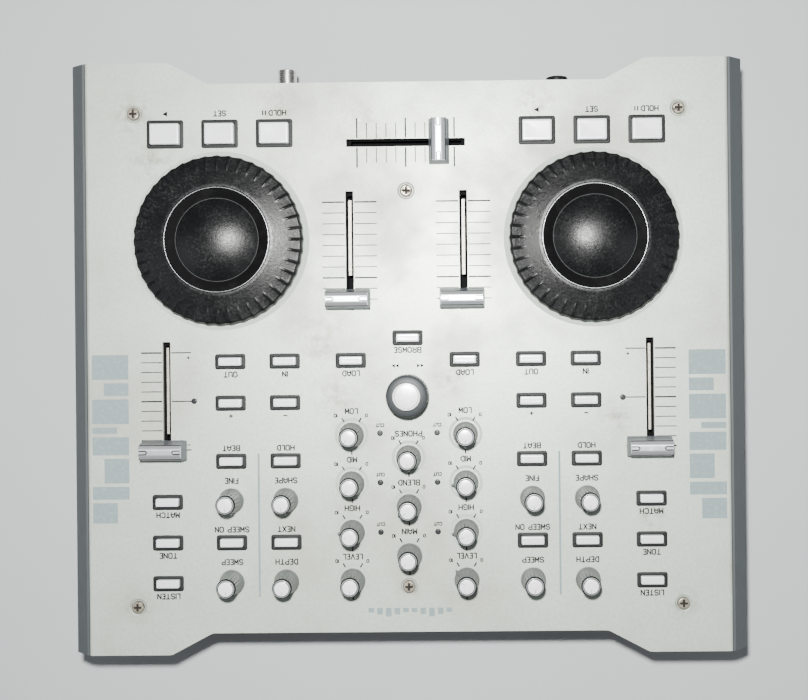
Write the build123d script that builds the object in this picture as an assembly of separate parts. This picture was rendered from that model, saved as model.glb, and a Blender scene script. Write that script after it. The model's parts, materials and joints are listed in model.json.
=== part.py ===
from build123d import *
import os

# A two-deck DJ controller for the desk top: a painted top panel on a dark sheet case, grey end
# cheeks, two jog wheels, five faders, twenty rotary knobs and thirty-one push keys.
# Millimetres. +Z is up, the player sits at -Y, left and right are the player's own.
# The origin lies under the middle of the casing, in the plane that the rubber feet stand on.

# ------------------------------------------------------------------ casing
foot_height = 3.0
foot_radius = 9.0
foot_taper = 12.0  # degrees
foot_places = [(x, y) for x in (-124.0, 124.0) for y in (-112.0, 112.0)]
foot_hole_radius = 2.5
foot_hole_depth = 1.2
sheet = 2.0  # thickness of the panel, the case's walls and its floor
panel_top = 45.0
panel_under = panel_top - sheet
panel_edge_round = 1.6
case_floor = foot_height + sheet
case_inset = 1.2  # the dark case stands this far inside the panel's edge
panel_half_width = 148.9
wing_half_depth = 137.1
recess_half_depth = 127.1
wing_inner_x = 110.5
recess_outer_x = 91.5
plan_bend = 5.0  # radius of the bends between the wings and the recess
case_half_width = panel_half_width - case_inset
case_end_wall = recess_half_depth - case_inset  # outer face of the case's front and rear walls
cheek_half_width = 156.3
cheek_low = foot_height + 0.6
cheek_top = panel_top - 0.8
cheek_chamfer_drop = 6.5
cheek_under_chamfer = (3.0, 3.4)
cheek_wall = 2.4
cheek_rib_places = (-110.0, 0.0, 110.0)
cheek_rib = 10.0
cheek_screw_z = 20.0

# ------------------------------------------------------------------ circuit board
board_top = 31.6
board_thickness = 1.6
board_under = board_top - board_thickness
board_half_width = 120.0
board_half_depth = 115.0
standoffs = [(-100.0, -12.0), (100.0, -12.0), (-96.0, 112.0), (96.0, 112.0)]
chips = ((-40.0, -20.0, 14.0, 14.0), (45.0, -22.0, 10.0, 10.0), (0.0, -60.0, 8.0, 12.0),
         (-42.0, 70.0, 7.0, 9.0))
chip_height = 1.4
light_gate = (6.0, 8.0, 9.0)
light_gate_slot = (36.0, 39.0)  # the encoder disc turns between these heights

# ------------------------------------------------------------------ screws
thread_radius = 1.45
screw_clearance = 0.15
head_radius = 2.95
head_height = 1.6
head_round = 0.9
cross_length = 3.6
cross_width = 1.1
cross_depth = 0.9
boss_radius = 3.5
dimple_depth = 0.5  # each panel screw sits in a shallow conical dimple
dimple_radii = (3.3, 4.0)
panel_screws = [(-126.0, -113.5), (126.0, -113.5), (-126.0, 114.8), (126.0, 114.8), (0.0, -76.7),
                (0.4, 106.2)]
board_screw_pair = panel_screws[4:]  # these two pass through the board
panel_screw_length = 8.0  # below the panel
board_screw_length = 5.0  # below the board
cheek_screw_length = 7.0  # beyond the case's wall

# ------------------------------------------------------------------ jog wheels
jog_x = 86.3
jog_y = -54.4
jog_radius = 39.2
jog_scallops = 44
jog_scallop_radius = 1.6
jog_scallop_depth = 0.55
jog_crest = 8.8  # above the panel, as are the next four
jog_rim_height = 4.5
jog_groove_height = 6.9
jog_dome_edge = 7.3
jog_dome_top = 12.4
jog_clearance = 0.6
jog_dome_radius = 19.0
jog_ring_radius = 23.8
jog_hub_radius = 8.0
jog_hub_low = 38.6
jog_skirt_inner_radius = 36.0
jog_skirt_roof = panel_top + 3.0
encoder_disc_radius = 25.0
encoder_disc_boss_radius = 6.0
encoder_disc_low = 37.0
encoder_disc_thickness = 1.0
axle_radius = 3.0
axle_flange_radius = 11.0
axle_flange_height = 3.0
axle_top = panel_top + 5.8
running_clearance = 0.05

# ------------------------------------------------------------------ faders
fader_travel = 45.0
slot_length = 55.0
slot_width = 3.6
crossfader_y = -99.0
crossfader_rest_x = -15.4
line_fader_x = 26.3
line_fader_y = -49.2
pitch_fader_x = 111.7
pitch_fader_y = 19.7
fader_cap_length = 20.7
fader_cap_width = 9.3
fader_ridge_length = 19.3
fader_ridge_width = 6.2
fader_ridge_rise = 1.0  # the ridge is a shallow arch
fader_cap_height = 10.0
fader_cap_gap = 1.2  # between the cap and the panel
fader_cap_offset = 0.9  # the caps that run front to rear sit this far towards the player's right
lever_size = (4.0, 1.2)
lever_foot_size = (4.0, 4.6)
lever_foot_low = board_top + 1.6
lever_foot_top = 36.6
lever_in_cap = 6.5
track_height = 8.0
track_width = 9.0
track_length = 62.0
track_wall = 1.0
track_channel_width = 6.0
track_slot_width = 2.8

# ------------------------------------------------------------------ rotary knobs
knob_base_radius = 5.8
knob_gap = 0.8
knob_height = 16.0  # above the panel
# Outline of a small knob as (radius, share of its height): skirt, grip, and the rim round its cap
knob_outline = [(5.8, 0.0), (5.75, 0.06), (5.35, 0.18), (4.95, 0.45), (4.6, 0.72), (4.4, 0.9), (4.0, 0.915),
                (3.9, 0.985), (3.5, 1.0)]
pointer_reach = 7.0
pointer_width = 1.4
pointer_height = 5.0
spindle_radius = 3.0
spindle_low = board_top + 1.8
spindle_short_of_top = 4.0
pot_size = 11.0
pot_height = 7.0
pot_floor = 1.4
bush_radius = 3.6
bush_top = panel_top - 0.4
hole_clearance = 0.1
eq_x = 26.3
eq_rows = {"bass": 35.9, "mid": 58.3, "treble": 80.7, "gain": 103.1}
centre_rows = {"phones_volume": 46.5, "phones_mix": 69.1, "master_volume": 91.7}
deck_outer_x = 82.1
deck_inner_x = 56.9
fine_row = 65.7
effect_row = 103.3
encoder_knob_radius = 9.7
encoder_knob_chamfer = 1.2
encoder_grip_top = panel_top + 12.5
encoder_cap_radius = 6.8
encoder_place = (0.0, 17.6)
# How far each of these knobs rests from its middle setting, where the pointer is at +Y. Degrees.
pointer_turns = {"bass_knob_right": -43.0, "mid_knob_right": -40.0, "treble_knob_right": -85.0,
                 "mid_knob_left": -80.0, "treble_knob_left": -80.0, "gain_knob_left": -130.0,
                 "phones_mix_knob": -50.0, "master_volume_knob": -45.0}

# ------------------------------------------------------------------ push keys
small_key = {"bezel": (14.1, 7.05), "cap": (10.8, 4.2), "rise": 2.2, "travel": 0.8}
large_key = {"bezel": (17.0, 13.1), "cap": (13.8, 10.0), "rise": 2.6, "travel": 1.0}
key_clearance = 0.3
key_corner = 0.5
bezel_corner = 1.0
bezel_rise = 0.8
bezel_skirt = 1.5  # below the panel
bezel_skirt_wall = 0.75
key_flange = 1.0
key_flange_margin = 0.9
key_stem_radius = 1.6
key_bar_margin = 1.5
switch_body = 6.0
switch_body_height = 3.5
switch_plunger_radius = 1.7
switch_top = 36.1  # top of the switch's plunger
small_key_rows = {"loop": 1.5, "bend": 20.7, "tap": 47.6, "filter": 85.2}
sync_rows = (66.3, 85.2, 103.9)
directory_y = -8.7
transport_y = -103.9
transport_x = (60.7, 86.0, 111.3)

# ------------------------------------------------------------------ lamps
lamp_radius = 1.25
lamp_rise = 0.5
lamp_round = 0.45
kill_lamp_x = 13.2
kill_lamp_rows = (35.3, 58.1, 81.0)
pitch_lamp_x = 99.1

# ------------------------------------------------------------------ sockets
socket_z = 21.5
phones_socket = {"x": 58.0, "nose": 4.6, "tip": -138.0, "bore": 3.25}
small_socket = {"x": 79.0, "nose": 4.25, "tip": -131.0, "bore": 1.8}
microphone_socket = {"x": -72.0, "nose": 5.2, "tip": -133.0, "bore": 3.25}
front_sockets = [phones_socket, small_socket, microphone_socket]
socket_body = (15.0, 20.0, 14.0)
socket_bore_depth = 17.0  # behind the case's wall
phono_places = (34.0, 52.0)
phono_radius = 4.15
phono_bore = 1.6
phono_length = 8.5
pocket_depth = 11.0
pocket_wall = 1.5
pocket_x = (20.0, 66.0)
pocket_z = (13.0, 27.0)
usb_x = -45.0
usb_size = (12.0, 16.5, 11.0)
usb_mouth = (8.6, 9.0, 7.9)
usb_tongue = (5.6, 4.4, 3.2)
usb_tongue_y = case_end_wall - 6.8


def block(x, y, low, high, width, depth, corner=0.0):
    """An upright block centred on (x, y) between two heights, with rounded corners if asked."""
    plan = RectangleRounded(width, depth, corner) if corner else Rectangle(width, depth)
    return extrude(Pos(x, y, low) * plan, amount=high - low)


def post(x, y, radius, low, high):
    """An upright round post centred on (x, y) between two heights."""
    return extrude(Pos(x, y, low) * Circle(radius), amount=high - low)


def rod_along_y(x, z, radius, start, end):
    """A round rod parallel to Y."""
    plane = Plane((x, start, z), x_dir=(1, 0, 0), z_dir=(0, 1, 0))
    return extrude(plane * Circle(radius), amount=end - start)


def rod_along_x(y, z, radius, start, end):
    """A round rod parallel to X, from start towards end."""
    way = 1 if end > start else -1
    plane = Plane((start, y, z), x_dir=(0, 1, 0), z_dir=(way, 0, 0))
    return extrude(plane * Circle(radius), amount=abs(end - start))


def turned(points):
    """A solid of revolution about the upright axis, from (radius, height) points that start and end on it."""
    return revolve(make_face(Plane.XZ * Polyline(points, close=True)), Axis.Z)


def top_circle(solid):
    """The highest round edge of a solid."""
    return solid.edges().filter_by(GeomType.CIRCLE).sort_by(Axis.Z)[-1]


def save(node, solids):
    """Write one node, whose solids stay separate."""
    pieces = [s for item in solids for s in item.solids()]
    shape = pieces[0] if len(pieces) == 1 else Compound(children=pieces)
    export_step(shape, f"parts/{node}.step")


# ------------------------------------------------------------------ where the controls stand
sides = (("left", -1), ("right", 1))


def small_key_places():
    """Every small key: node name and the places of the caps that the node carries."""
    groups = {"directory_key": [(0.0, directory_y)]}
    for side, sign in sides:
        groups[f"load_key_{side}"] = [(sign * line_fader_x, small_key_rows["loop"])]
        for name, y in small_key_rows.items():
            groups[f"{name}_keys_{side}"] = [(sign * x, y) for x in (deck_inner_x, deck_outer_x)]
        groups[f"sync_keys_{side}"] = [(sign * pitch_fader_x, y) for y in sync_rows]
    return groups


def large_key_places():
    """The transport keys. On both decks cue is at the player's left and play at the right."""
    places = {}
    for side, sign in sides:
        left_to_right = sorted(sign * x for x in transport_x)
        for name, x in zip(("cue", "set_cue", "play"), left_to_right):
            places[f"{name}_key_{side}"] = [(x, transport_y)]
    return places


def knob_places():
    """Every small knob: node name and the place of its spindle."""
    places = {name + "_knob": (0.0, y) for name, y in centre_rows.items()}
    for side, sign in sides:
        for name, y in eq_rows.items():
            places[f"{name}_knob_{side}"] = (sign * eq_x, y)
        left_x, right_x = sorted((sign * deck_inner_x, sign * deck_outer_x))
        places[f"parameter_knob_{side}"] = (left_x, fine_row)
        places[f"fine_pitch_knob_{side}"] = (right_x, fine_row)
        places[f"effect_knob_{side}"] = (left_x, effect_row)
        places[f"filter_knob_{side}"] = (right_x, effect_row)
    return places


# Each fader: centre of its slot, whether it runs along X, and where its cap rests from the centre.
faders = {"crossfader_cap": ((0.0, crossfader_y), True, crossfader_rest_x)}
for side, sign in sides:
    faders[f"line_fader_cap_{side}"] = ((sign * line_fader_x, line_fader_y), False, fader_travel / 2)
    faders[f"pitch_fader_cap_{side}"] = ((sign * pitch_fader_x, pitch_fader_y), False, fader_travel / 2)

small_keys = small_key_places()
large_keys = large_key_places()
knobs = knob_places()
all_keys = [(small_key, spot) for spots in small_keys.values() for spot in spots]
all_keys += [(large_key, spot) for spots in large_keys.values() for spot in spots]
jog_places = {side: (sign * jog_x, jog_y) for side, sign in sides}
lamp_places = [(sign * kill_lamp_x, y) for _, sign in sides for y in kill_lamp_rows]
lamp_places += [(sign * pitch_lamp_x, pitch_fader_y) for _, sign in sides]


# ------------------------------------------------------------------ casing pieces
def casing_plan(inset=0.0):
    """Plan of the casing: four wings, and a shallow recess between them at the front and rear."""
    right_rear = [(panel_half_width, wing_half_depth), (wing_inner_x, wing_half_depth),
                  (recess_outer_x, recess_half_depth)]
    rear = right_rear + [(-x, y) for x, y in reversed(right_rear)]
    front = [(x, -y) for x, y in reversed(rear)]
    plan = make_face(Polyline(rear + front, close=True))
    bends = [v for v in plan.vertices() if abs(v.X) < (panel_half_width + wing_inner_x) / 2]
    plan = fillet(bends, plan_bend)
    return offset(plan, -inset, kind=Kind.INTERSECTION) if inset else plan


def slab(plan, low, high):
    """A plan raised from one height to another."""
    return extrude(Pos(0, 0, low) * plan, amount=high - low)


def key_opening(key):
    """Size of the hole in the panel that a key's bezel drops into."""
    width, depth = key["cap"]
    grow = 2 * (key_clearance + bezel_skirt_wall)
    return width + grow, depth + grow


def screw_dimple(x, y):
    """The shallow cone round a panel screw."""
    low_radius, high_radius = dimple_radii
    return Pos(x, y, panel_top - dimple_depth / 2) * Cone(low_radius, high_radius, dimple_depth)


def make_top_panel():
    """Painted sheet with its long sides rounded over, pierced for every control."""
    panel = slab(casing_plan(), panel_under, panel_top)
    folds = [e for e in panel.edges().filter_by(Axis.Y) if e.center().Z > panel_top - 0.1]
    panel = fillet([e for e in folds if abs(e.center().X) > panel_half_width - 0.1], panel_edge_round)
    holes = [block(*spot, panel_under, panel_top, *key_opening(key)) for key, spot in all_keys]
    for spot, along_x, _ in faders.values():
        size = (slot_length, slot_width) if along_x else (slot_width, slot_length)
        holes.append(block(*spot, panel_under, panel_top, *size))
    round_holes = [(spot, bush_radius + hole_clearance) for spot in list(knobs.values()) + [encoder_place]]
    round_holes += [(spot, jog_hub_radius + 1.0) for spot in jog_places.values()]
    round_holes += [(spot, lamp_radius + hole_clearance) for spot in lamp_places]
    round_holes += [(spot, thread_radius + screw_clearance) for spot in panel_screws]
    holes += [post(*spot, radius, panel_under, panel_top) for spot, radius in round_holes]
    holes += [screw_dimple(*spot) for spot in panel_screws]
    return [panel - holes]


def make_bottom_case():
    """Dark sheet tray with the screw bosses, the board's standoffs and the rear socket pocket."""
    case = slab(casing_plan(case_inset), foot_height, panel_under)
    case -= slab(casing_plan(case_inset + sheet), case_floor, panel_under)
    pocket_middle = sum(pocket_x) / 2
    pocket_width = pocket_x[1] - pocket_x[0]
    shell_depth = pocket_depth + pocket_wall
    case += block(pocket_middle, case_end_wall - shell_depth / 2, pocket_z[0] - pocket_wall,
                  pocket_z[1] + pocket_wall, pocket_width + 2 * pocket_wall, shell_depth)
    case += [post(*spot, boss_radius, case_floor, panel_under) for spot in panel_screws]
    case += [post(*spot, boss_radius, case_floor, board_under) for spot in standoffs]
    cuts = [block(pocket_middle, case_end_wall - pocket_depth / 2, *pocket_z, pocket_width, pocket_depth)]
    for spots, top, depth in ((panel_screws, panel_under, panel_screw_length),
                              (standoffs, board_under, board_screw_length)):
        cuts += [post(*spot, thread_radius, top - depth - 1, top) for spot in spots]
    for socket in front_sockets:
        cuts.append(rod_along_y(socket["x"], socket_z, socket["nose"], -case_end_wall - 1,
                                -case_end_wall + sheet + 1))
    usb_width, _, usb_height = usb_size
    cuts.append(block(usb_x, case_end_wall - sheet / 2, socket_z - usb_height / 2, socket_z + usb_height / 2,
                      usb_width, 2 * sheet))
    for _, sign in sides:
        inner = sign * (case_half_width - sheet)
        for y in cheek_rib_places:
            cuts.append(rod_along_x(y, cheek_screw_z, thread_radius + screw_clearance, inner,
                                    sign * case_half_width))
    return [case - cuts]


def make_side_cheek(sign):
    """Hollow moulded end cheek, open towards the case, with three ribs that take its screws."""
    edge = panel_half_width + 0.05
    under_in, under_up = cheek_under_chamfer
    shoulder = panel_top - cheek_chamfer_drop
    profile = [(case_half_width, cheek_low), (cheek_half_width - under_in, cheek_low),
               (cheek_half_width, cheek_low + under_up), (cheek_half_width, shoulder),
               (edge + 1.0, cheek_top), (edge, cheek_top), (edge, panel_under),
               (case_half_width, panel_under)]
    face = make_face(Plane.XZ * Polyline([(sign * x, z) for x, z in profile], close=True))
    cheek = extrude(face, amount=wing_half_depth, both=True)
    edges = [-wing_half_depth + cheek_wall]
    for y in cheek_rib_places:
        edges += [y - cheek_rib / 2, y + cheek_rib / 2]
    edges.append(wing_half_depth - cheek_wall)
    hollow_width = cheek_half_width - cheek_wall - case_half_width
    middle_x = sign * (case_half_width + hollow_width / 2)
    gaps = [block(middle_x, (start + end) / 2, cheek_low + under_up, shoulder - 2.0,
                  hollow_width, end - start) for start, end in zip(edges[0::2], edges[1::2])]
    for y in cheek_rib_places:
        gaps.append(rod_along_x(y, cheek_screw_z, thread_radius, sign * case_half_width,
                                sign * (case_half_width + cheek_screw_length - 1.0)))
    return [cheek - gaps]


def make_screws():
    """Panel screws from above, board screws, and the cheek screws driven outwards from inside."""
    screws = []
    for spot in panel_screws:
        head_low = panel_top - dimple_depth
        top = head_low + head_height
        screw = post(*spot, head_radius, head_low, top)
        screw = fillet(top_circle(screw), head_round)
        screw += post(*spot, thread_radius, panel_under - panel_screw_length, head_low)
        cross = [block(*spot, top - cross_depth, top, wide, deep)
                 for wide, deep in ((cross_length, cross_width), (cross_width, cross_length))]
        screws.append(screw - cross)
    for spot in standoffs:
        head = post(*spot, head_radius, board_top, board_top + head_height)
        screws.append(head + post(*spot, thread_radius, board_under - board_screw_length, board_top))
    for _, sign in sides:
        inner = sign * (case_half_width - sheet)
        for y in cheek_rib_places:
            head = rod_along_x(y, cheek_screw_z, head_radius, inner - sign * head_height, inner)
            shank = rod_along_x(y, cheek_screw_z, thread_radius, inner, inner + sign * cheek_screw_length)
            screws.append(head + shank)
    return screws


def make_rubber_feet():
    """Four tapered feet with a shallow hole in the sole."""
    feet = []
    for x, y in foot_places:
        foot = extrude(Pos(x, y, 0) * Circle(foot_radius - 0.8), amount=foot_height, taper=-foot_taper)
        feet.append(foot - post(x, y, foot_hole_radius, 0, foot_hole_depth))
    return feet


# ------------------------------------------------------------------ electronics
def make_control_board():
    """Circuit board with its main chips and the two light gates that read the jog discs."""
    board = block(0, 0, board_under, board_top, 2 * board_half_width, 2 * board_half_depth)
    through = [post(*spot, boss_radius + 0.4, board_under, board_top) for spot in board_screw_pair]
    through += [post(*spot, thread_radius + screw_clearance, board_under, board_top) for spot in standoffs]
    parts = [board - through]
    parts += [block(x, y, board_top, board_top + chip_height, wide, deep) for x, y, wide, deep in chips]
    wide, deep, tall = light_gate
    for x, y in jog_places.values():
        gate_y = y + encoder_disc_radius - 1.0
        gate = block(x, gate_y, board_top, board_top + tall, wide, deep)
        parts.append(gate - block(x, gate_y - 2.0, *light_gate_slot, wide, deep - 2.0))
    return parts


def make_fader_tracks():
    """The five slide potentiometers: a folded steel channel each, with a slot for the lever."""
    tracks = []
    top = board_top + track_height
    channel_length = fader_travel + 6.5
    for spot, along_x, _ in faders.values():
        turn = 0 if along_x else 90
        track = block(0, 0, board_top, top, track_length, track_width)
        track -= block(0, 0, board_top + track_wall, top - track_wall, channel_length, track_channel_width)
        track -= block(0, 0, top - track_wall, top, channel_length, track_slot_width)
        tracks.append(Pos(*spot, 0) * Rot(0, 0, turn) * track)
    return tracks


def make_pots():
    """Bodies of the rotary potentiometers and of the track encoder, each with its threaded bush."""
    pots = []
    for spot in list(knobs.values()) + [encoder_place]:
        body = block(*spot, board_top, board_top + pot_height, pot_size, pot_size)
        body += post(*spot, bush_radius, board_top + pot_height, bush_top)
        pots.append(body - post(*spot, spindle_radius + running_clearance, board_top + pot_floor, bush_top))
    return pots


def make_key_switches():
    """One tact switch under every key cap: a square body and a round plunger."""
    switches = []
    for _, spot in all_keys:
        body_top = board_top + switch_body_height
        body = block(*spot, board_top, body_top, switch_body, switch_body)
        switches.append(body + post(*spot, switch_plunger_radius, body_top, switch_top))
    return switches


def make_lamps():
    """Indicator lamps: a small round lens that stands just above the panel, on a spacer tube."""
    lamps = [post(*spot, lamp_radius, board_top, panel_top + lamp_rise) for spot in lamp_places]
    return [fillet(top_circle(lamp), lamp_round) for lamp in lamps]


def make_sockets():
    """Front jack sockets, the rear pair of phono sockets and the rear USB socket."""
    wall_inside = -case_end_wall + sheet
    wide, deep, tall = socket_body
    sockets = []
    for socket in front_sockets:
        x = socket["x"]
        nose = rod_along_y(x, socket_z, socket["nose"], socket["tip"], wall_inside)
        nose = chamfer(nose.edges().filter_by(GeomType.CIRCLE).sort_by(Axis.Y)[0], 0.5)
        body = nose + block(x, wall_inside + deep / 2, socket_z - tall / 2, socket_z + tall / 2, wide, deep)
        bore = rod_along_y(x, socket_z, socket["bore"], socket["tip"], wall_inside + socket_bore_depth)
        sockets.append(body - bore)
    pocket_back = case_end_wall - pocket_depth
    for x in phono_places:
        barrel = rod_along_y(x, socket_z, phono_radius, pocket_back, pocket_back + phono_length)
        bore = rod_along_y(x, socket_z, phono_bore, pocket_back + 1.0, pocket_back + phono_length)
        sockets.append(barrel - bore)
    width, length, height = usb_size
    mouth_wide, mouth_deep, mouth_high = usb_mouth
    tongue_wide, tongue_deep, tongue_high = usb_tongue
    usb = block(usb_x, case_end_wall - length / 2, socket_z - height / 2, socket_z + height / 2,
                width, length)
    usb -= block(usb_x, case_end_wall - mouth_deep / 2, socket_z - mouth_high / 2, socket_z + mouth_high / 2,
                 mouth_wide, mouth_deep)
    usb += block(usb_x, usb_tongue_y, socket_z - tongue_high / 2, socket_z + tongue_high / 2,
                 tongue_wide, tongue_deep)
    sockets.append(usb)
    return sockets


# ------------------------------------------------------------------ jog wheels
def make_jog_bearings():
    """Flanged axle posts on the board that the jog wheels turn on."""
    bearings = []
    for spot in jog_places.values():
        flange = post(*spot, axle_flange_radius, board_top, board_top + axle_flange_height)
        bearings.append(flange + post(*spot, axle_radius, board_top + axle_flange_height, axle_top))
    return bearings


def make_jog_wheel(x, y):
    """A wheel with a scalloped rim, a groove round its domed middle, a hub on the axle and a slotted disc."""
    rim_low = panel_top + jog_clearance
    rim_top = panel_top + jog_rim_height
    crest = panel_top + jog_crest
    groove = panel_top + jog_groove_height
    wheel = turned([(0, rim_low), (jog_radius - 1.0, rim_low), (jog_radius, rim_top),
                    (jog_radius - 1.2, rim_top + 1.4), (jog_ring_radius + 1.4, crest),
                    (jog_ring_radius, crest - 0.2), (jog_ring_radius - 1.2, groove), (0, groove)])
    edge = (jog_dome_radius, panel_top + jog_dome_edge)
    top = (0, panel_top + jog_dome_top)
    rise = jog_dome_top - jog_dome_edge
    sphere = (jog_dome_radius ** 2 + rise ** 2) / (2 * rise)
    arch = RadiusArc(edge, top, -sphere)
    rest = Polyline([top, (0, groove), (jog_dome_radius, groove), edge])
    wheel += revolve(make_face(Plane.XZ * (arch + rest)), Axis.Z)
    ring = PolarLocations(jog_radius + jog_scallop_radius - jog_scallop_depth, jog_scallops)
    wheel -= [place * post(0, 0, jog_scallop_radius, rim_low, rim_low + jog_crest) for place in ring]
    wheel -= (post(0, 0, jog_skirt_inner_radius, rim_low, jog_skirt_roof)
              - post(0, 0, jog_hub_radius, rim_low, jog_skirt_roof))
    wheel += post(0, 0, jog_hub_radius, jog_hub_low, rim_low)
    wheel += post(0, 0, encoder_disc_boss_radius, encoder_disc_low - 0.6, jog_hub_low)
    wheel -= post(0, 0, axle_radius + running_clearance, encoder_disc_low - 0.6, axle_top + 0.2)
    disc_top = encoder_disc_low + encoder_disc_thickness
    disc = post(0, 0, encoder_disc_radius, encoder_disc_low, disc_top)
    disc -= post(0, 0, encoder_disc_boss_radius, encoder_disc_low, disc_top)
    return [Pos(x, y, 0) * wheel, Pos(x, y, 0) * disc]


# ------------------------------------------------------------------ faders, knobs, keys
def make_fader_cap(spot, along_x, rest):
    """Cap with sloping sides and an arched ridge, on a flat steel lever whose foot rides in the track."""
    low = panel_top + fader_cap_gap
    shoulder = low + fader_cap_height - fader_ridge_rise
    base = Pos(0, 0, low) * Rectangle(fader_cap_length, fader_cap_width)
    brow = Pos(0, 0, shoulder) * Rectangle(fader_ridge_length, fader_ridge_width)
    cap = loft([base.face(), brow.face()])
    half = fader_ridge_width / 2
    arch = ThreePointArc((-half, shoulder), (0, shoulder + fader_ridge_rise), (half, shoulder))
    ridge = make_face(Plane.YZ * (arch + Line((half, shoulder), (-half, shoulder))))
    cap += extrude(ridge, amount=fader_ridge_length / 2, both=True)
    across = 0 if along_x else -fader_cap_offset
    lever = block(0, 0, lever_foot_top, low + lever_in_cap, *lever_size)
    cap = Pos(0, across, 0) * cap - block(0, 0, low, low + lever_in_cap, *lever_size)
    lever += block(0, 0, lever_foot_low, lever_foot_top, *lever_foot_size)
    x, y = spot
    place = Pos(x + rest, y, 0) if along_x else Pos(x, y + rest, 0) * Rot(0, 0, 90)
    return [place * cap, place * lever]


def make_knob(x, y, pointer_turn=0.0):
    """Knob with a smooth skirt, a pointer at its foot and a stepped rim, pressed on a spindle."""
    low = panel_top + knob_gap
    top = panel_top + knob_height
    outline = [(radius, low + share * (top - low)) for radius, share in knob_outline]
    body = turned([(0, low)] + outline + [(0, top)])
    pointer_length = pointer_reach - spindle_radius - 1.0
    body += block(0, pointer_reach - pointer_length / 2, low, low + pointer_height,
                  pointer_width, pointer_length)
    spindle_top = top - spindle_short_of_top
    body -= post(0, 0, spindle_radius, low, spindle_top)
    spindle = post(0, 0, spindle_radius, spindle_low, spindle_top)
    place = Pos(x, y, 0) * Rot(0, 0, pointer_turn)
    return [place * body, place * spindle]


def make_track_knob():
    """The larger encoder knob: a gripped ring with a raised plain cap."""
    low = panel_top + knob_gap
    top = panel_top + knob_height
    ring = post(0, 0, encoder_knob_radius, low, encoder_grip_top)
    ring = chamfer(top_circle(ring), encoder_knob_chamfer)
    ring += post(0, 0, encoder_cap_radius, encoder_grip_top, top)
    ring -= post(0, 0, spindle_radius, low, top - spindle_short_of_top)
    spindle = post(0, 0, spindle_radius, spindle_low, top - spindle_short_of_top)
    return [Pos(*encoder_place, 0) * ring, Pos(*encoder_place, 0) * spindle]


def make_bezels():
    """Dark frame round every key: a lip on the panel and a skirt through it."""
    bezels = []
    for key, spot in all_keys:
        width, depth = key["cap"]
        mouth = (width + 2 * key_clearance, depth + 2 * key_clearance)
        frame = block(*spot, panel_top, panel_top + bezel_rise, *key["bezel"], corner=bezel_corner)
        frame += block(*spot, panel_under - bezel_skirt, panel_top, *key_opening(key))
        bezels.append(frame - block(*spot, panel_under - bezel_skirt, panel_top + bezel_rise, *mouth))
    return bezels


def make_keys(key, spots):
    """Key caps with a stop flange and a stem over the switch, joined by a bar if there are several."""
    width, depth = key["cap"]
    flange_top = panel_under - bezel_skirt - 0.3
    flange_low = flange_top - key_flange
    stem_low = switch_top + key["travel"] + 0.1
    parts = []
    for spot in spots:
        parts.append(block(*spot, flange_low, panel_top + key["rise"], width, depth, corner=key_corner))
        parts.append(block(*spot, flange_low, flange_top,
                           width + 2 * key_flange_margin, depth + 2 * key_flange_margin))
        parts.append(post(*spot, key_stem_radius, stem_low, flange_low))
    if len(spots) > 1:
        xs, ys = zip(*spots)
        parts.append(block((min(xs) + max(xs)) / 2, (min(ys) + max(ys)) / 2, flange_low, flange_top - 0.2,
                           max(xs) - min(xs) + 2 * key_bar_margin, max(ys) - min(ys) + 2 * key_bar_margin))
    return [parts[0] + parts[1:]]


# ------------------------------------------------------------------ write every node
os.makedirs("parts", exist_ok=True)

save("top_panel", make_top_panel())
save("bottom_case", make_bottom_case())
for side, sign in sides:
    save(f"side_cheek_{side}", make_side_cheek(sign))
save("casing_screws", make_screws())
save("rubber_feet", make_rubber_feet())
save("key_bezels", make_bezels())
save("control_board", make_control_board())
save("fader_tracks", make_fader_tracks())
save("rotary_pots", make_pots())
save("key_switches", make_key_switches())
save("indicator_lamps", make_lamps())
save("sockets", make_sockets())
save("jog_bearings", make_jog_bearings())

for side, place in jog_places.items():
    save(f"jog_wheel_{side}", make_jog_wheel(*place))
for node, (spot, along_x, rest) in faders.items():
    save(node, make_fader_cap(spot, along_x, rest))
for node, place in knobs.items():
    save(node, make_knob(*place, pointer_turns.get(node, 0.0)))
save("track_knob", make_track_knob())
for node, spots in small_keys.items():
    save(node, make_keys(small_key, spots))
for node, spots in large_keys.items():
    save(node, make_keys(large_key, spots))
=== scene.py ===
import json
import math

import bpy
import numpy as np
from mathutils import Matrix, Vector


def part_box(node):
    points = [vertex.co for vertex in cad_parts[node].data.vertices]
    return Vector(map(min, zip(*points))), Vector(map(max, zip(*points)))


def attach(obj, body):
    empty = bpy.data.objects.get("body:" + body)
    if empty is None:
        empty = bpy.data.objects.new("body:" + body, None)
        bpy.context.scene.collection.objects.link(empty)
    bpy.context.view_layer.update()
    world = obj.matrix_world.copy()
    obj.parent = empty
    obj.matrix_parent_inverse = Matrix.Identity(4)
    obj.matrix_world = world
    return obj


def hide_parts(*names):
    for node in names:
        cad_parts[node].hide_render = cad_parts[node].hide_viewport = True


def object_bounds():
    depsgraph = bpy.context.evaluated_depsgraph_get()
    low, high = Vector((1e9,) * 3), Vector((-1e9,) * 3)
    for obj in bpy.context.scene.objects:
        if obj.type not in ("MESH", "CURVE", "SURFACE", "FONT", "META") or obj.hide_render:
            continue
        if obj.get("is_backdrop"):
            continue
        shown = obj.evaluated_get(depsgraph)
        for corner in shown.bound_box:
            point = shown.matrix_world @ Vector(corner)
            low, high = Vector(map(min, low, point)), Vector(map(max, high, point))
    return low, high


bl_info = {
    "name": "Desk-top DJ Controller",
    "version": (1, 0, 0),
    "blender": (4, 5, 0),
    "location": "3D View > Sidebar > Controller",
    "description": "Builds the visible pieces and finishes of a two-deck controller around its packed frame",
    "category": "Object",
}

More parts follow.
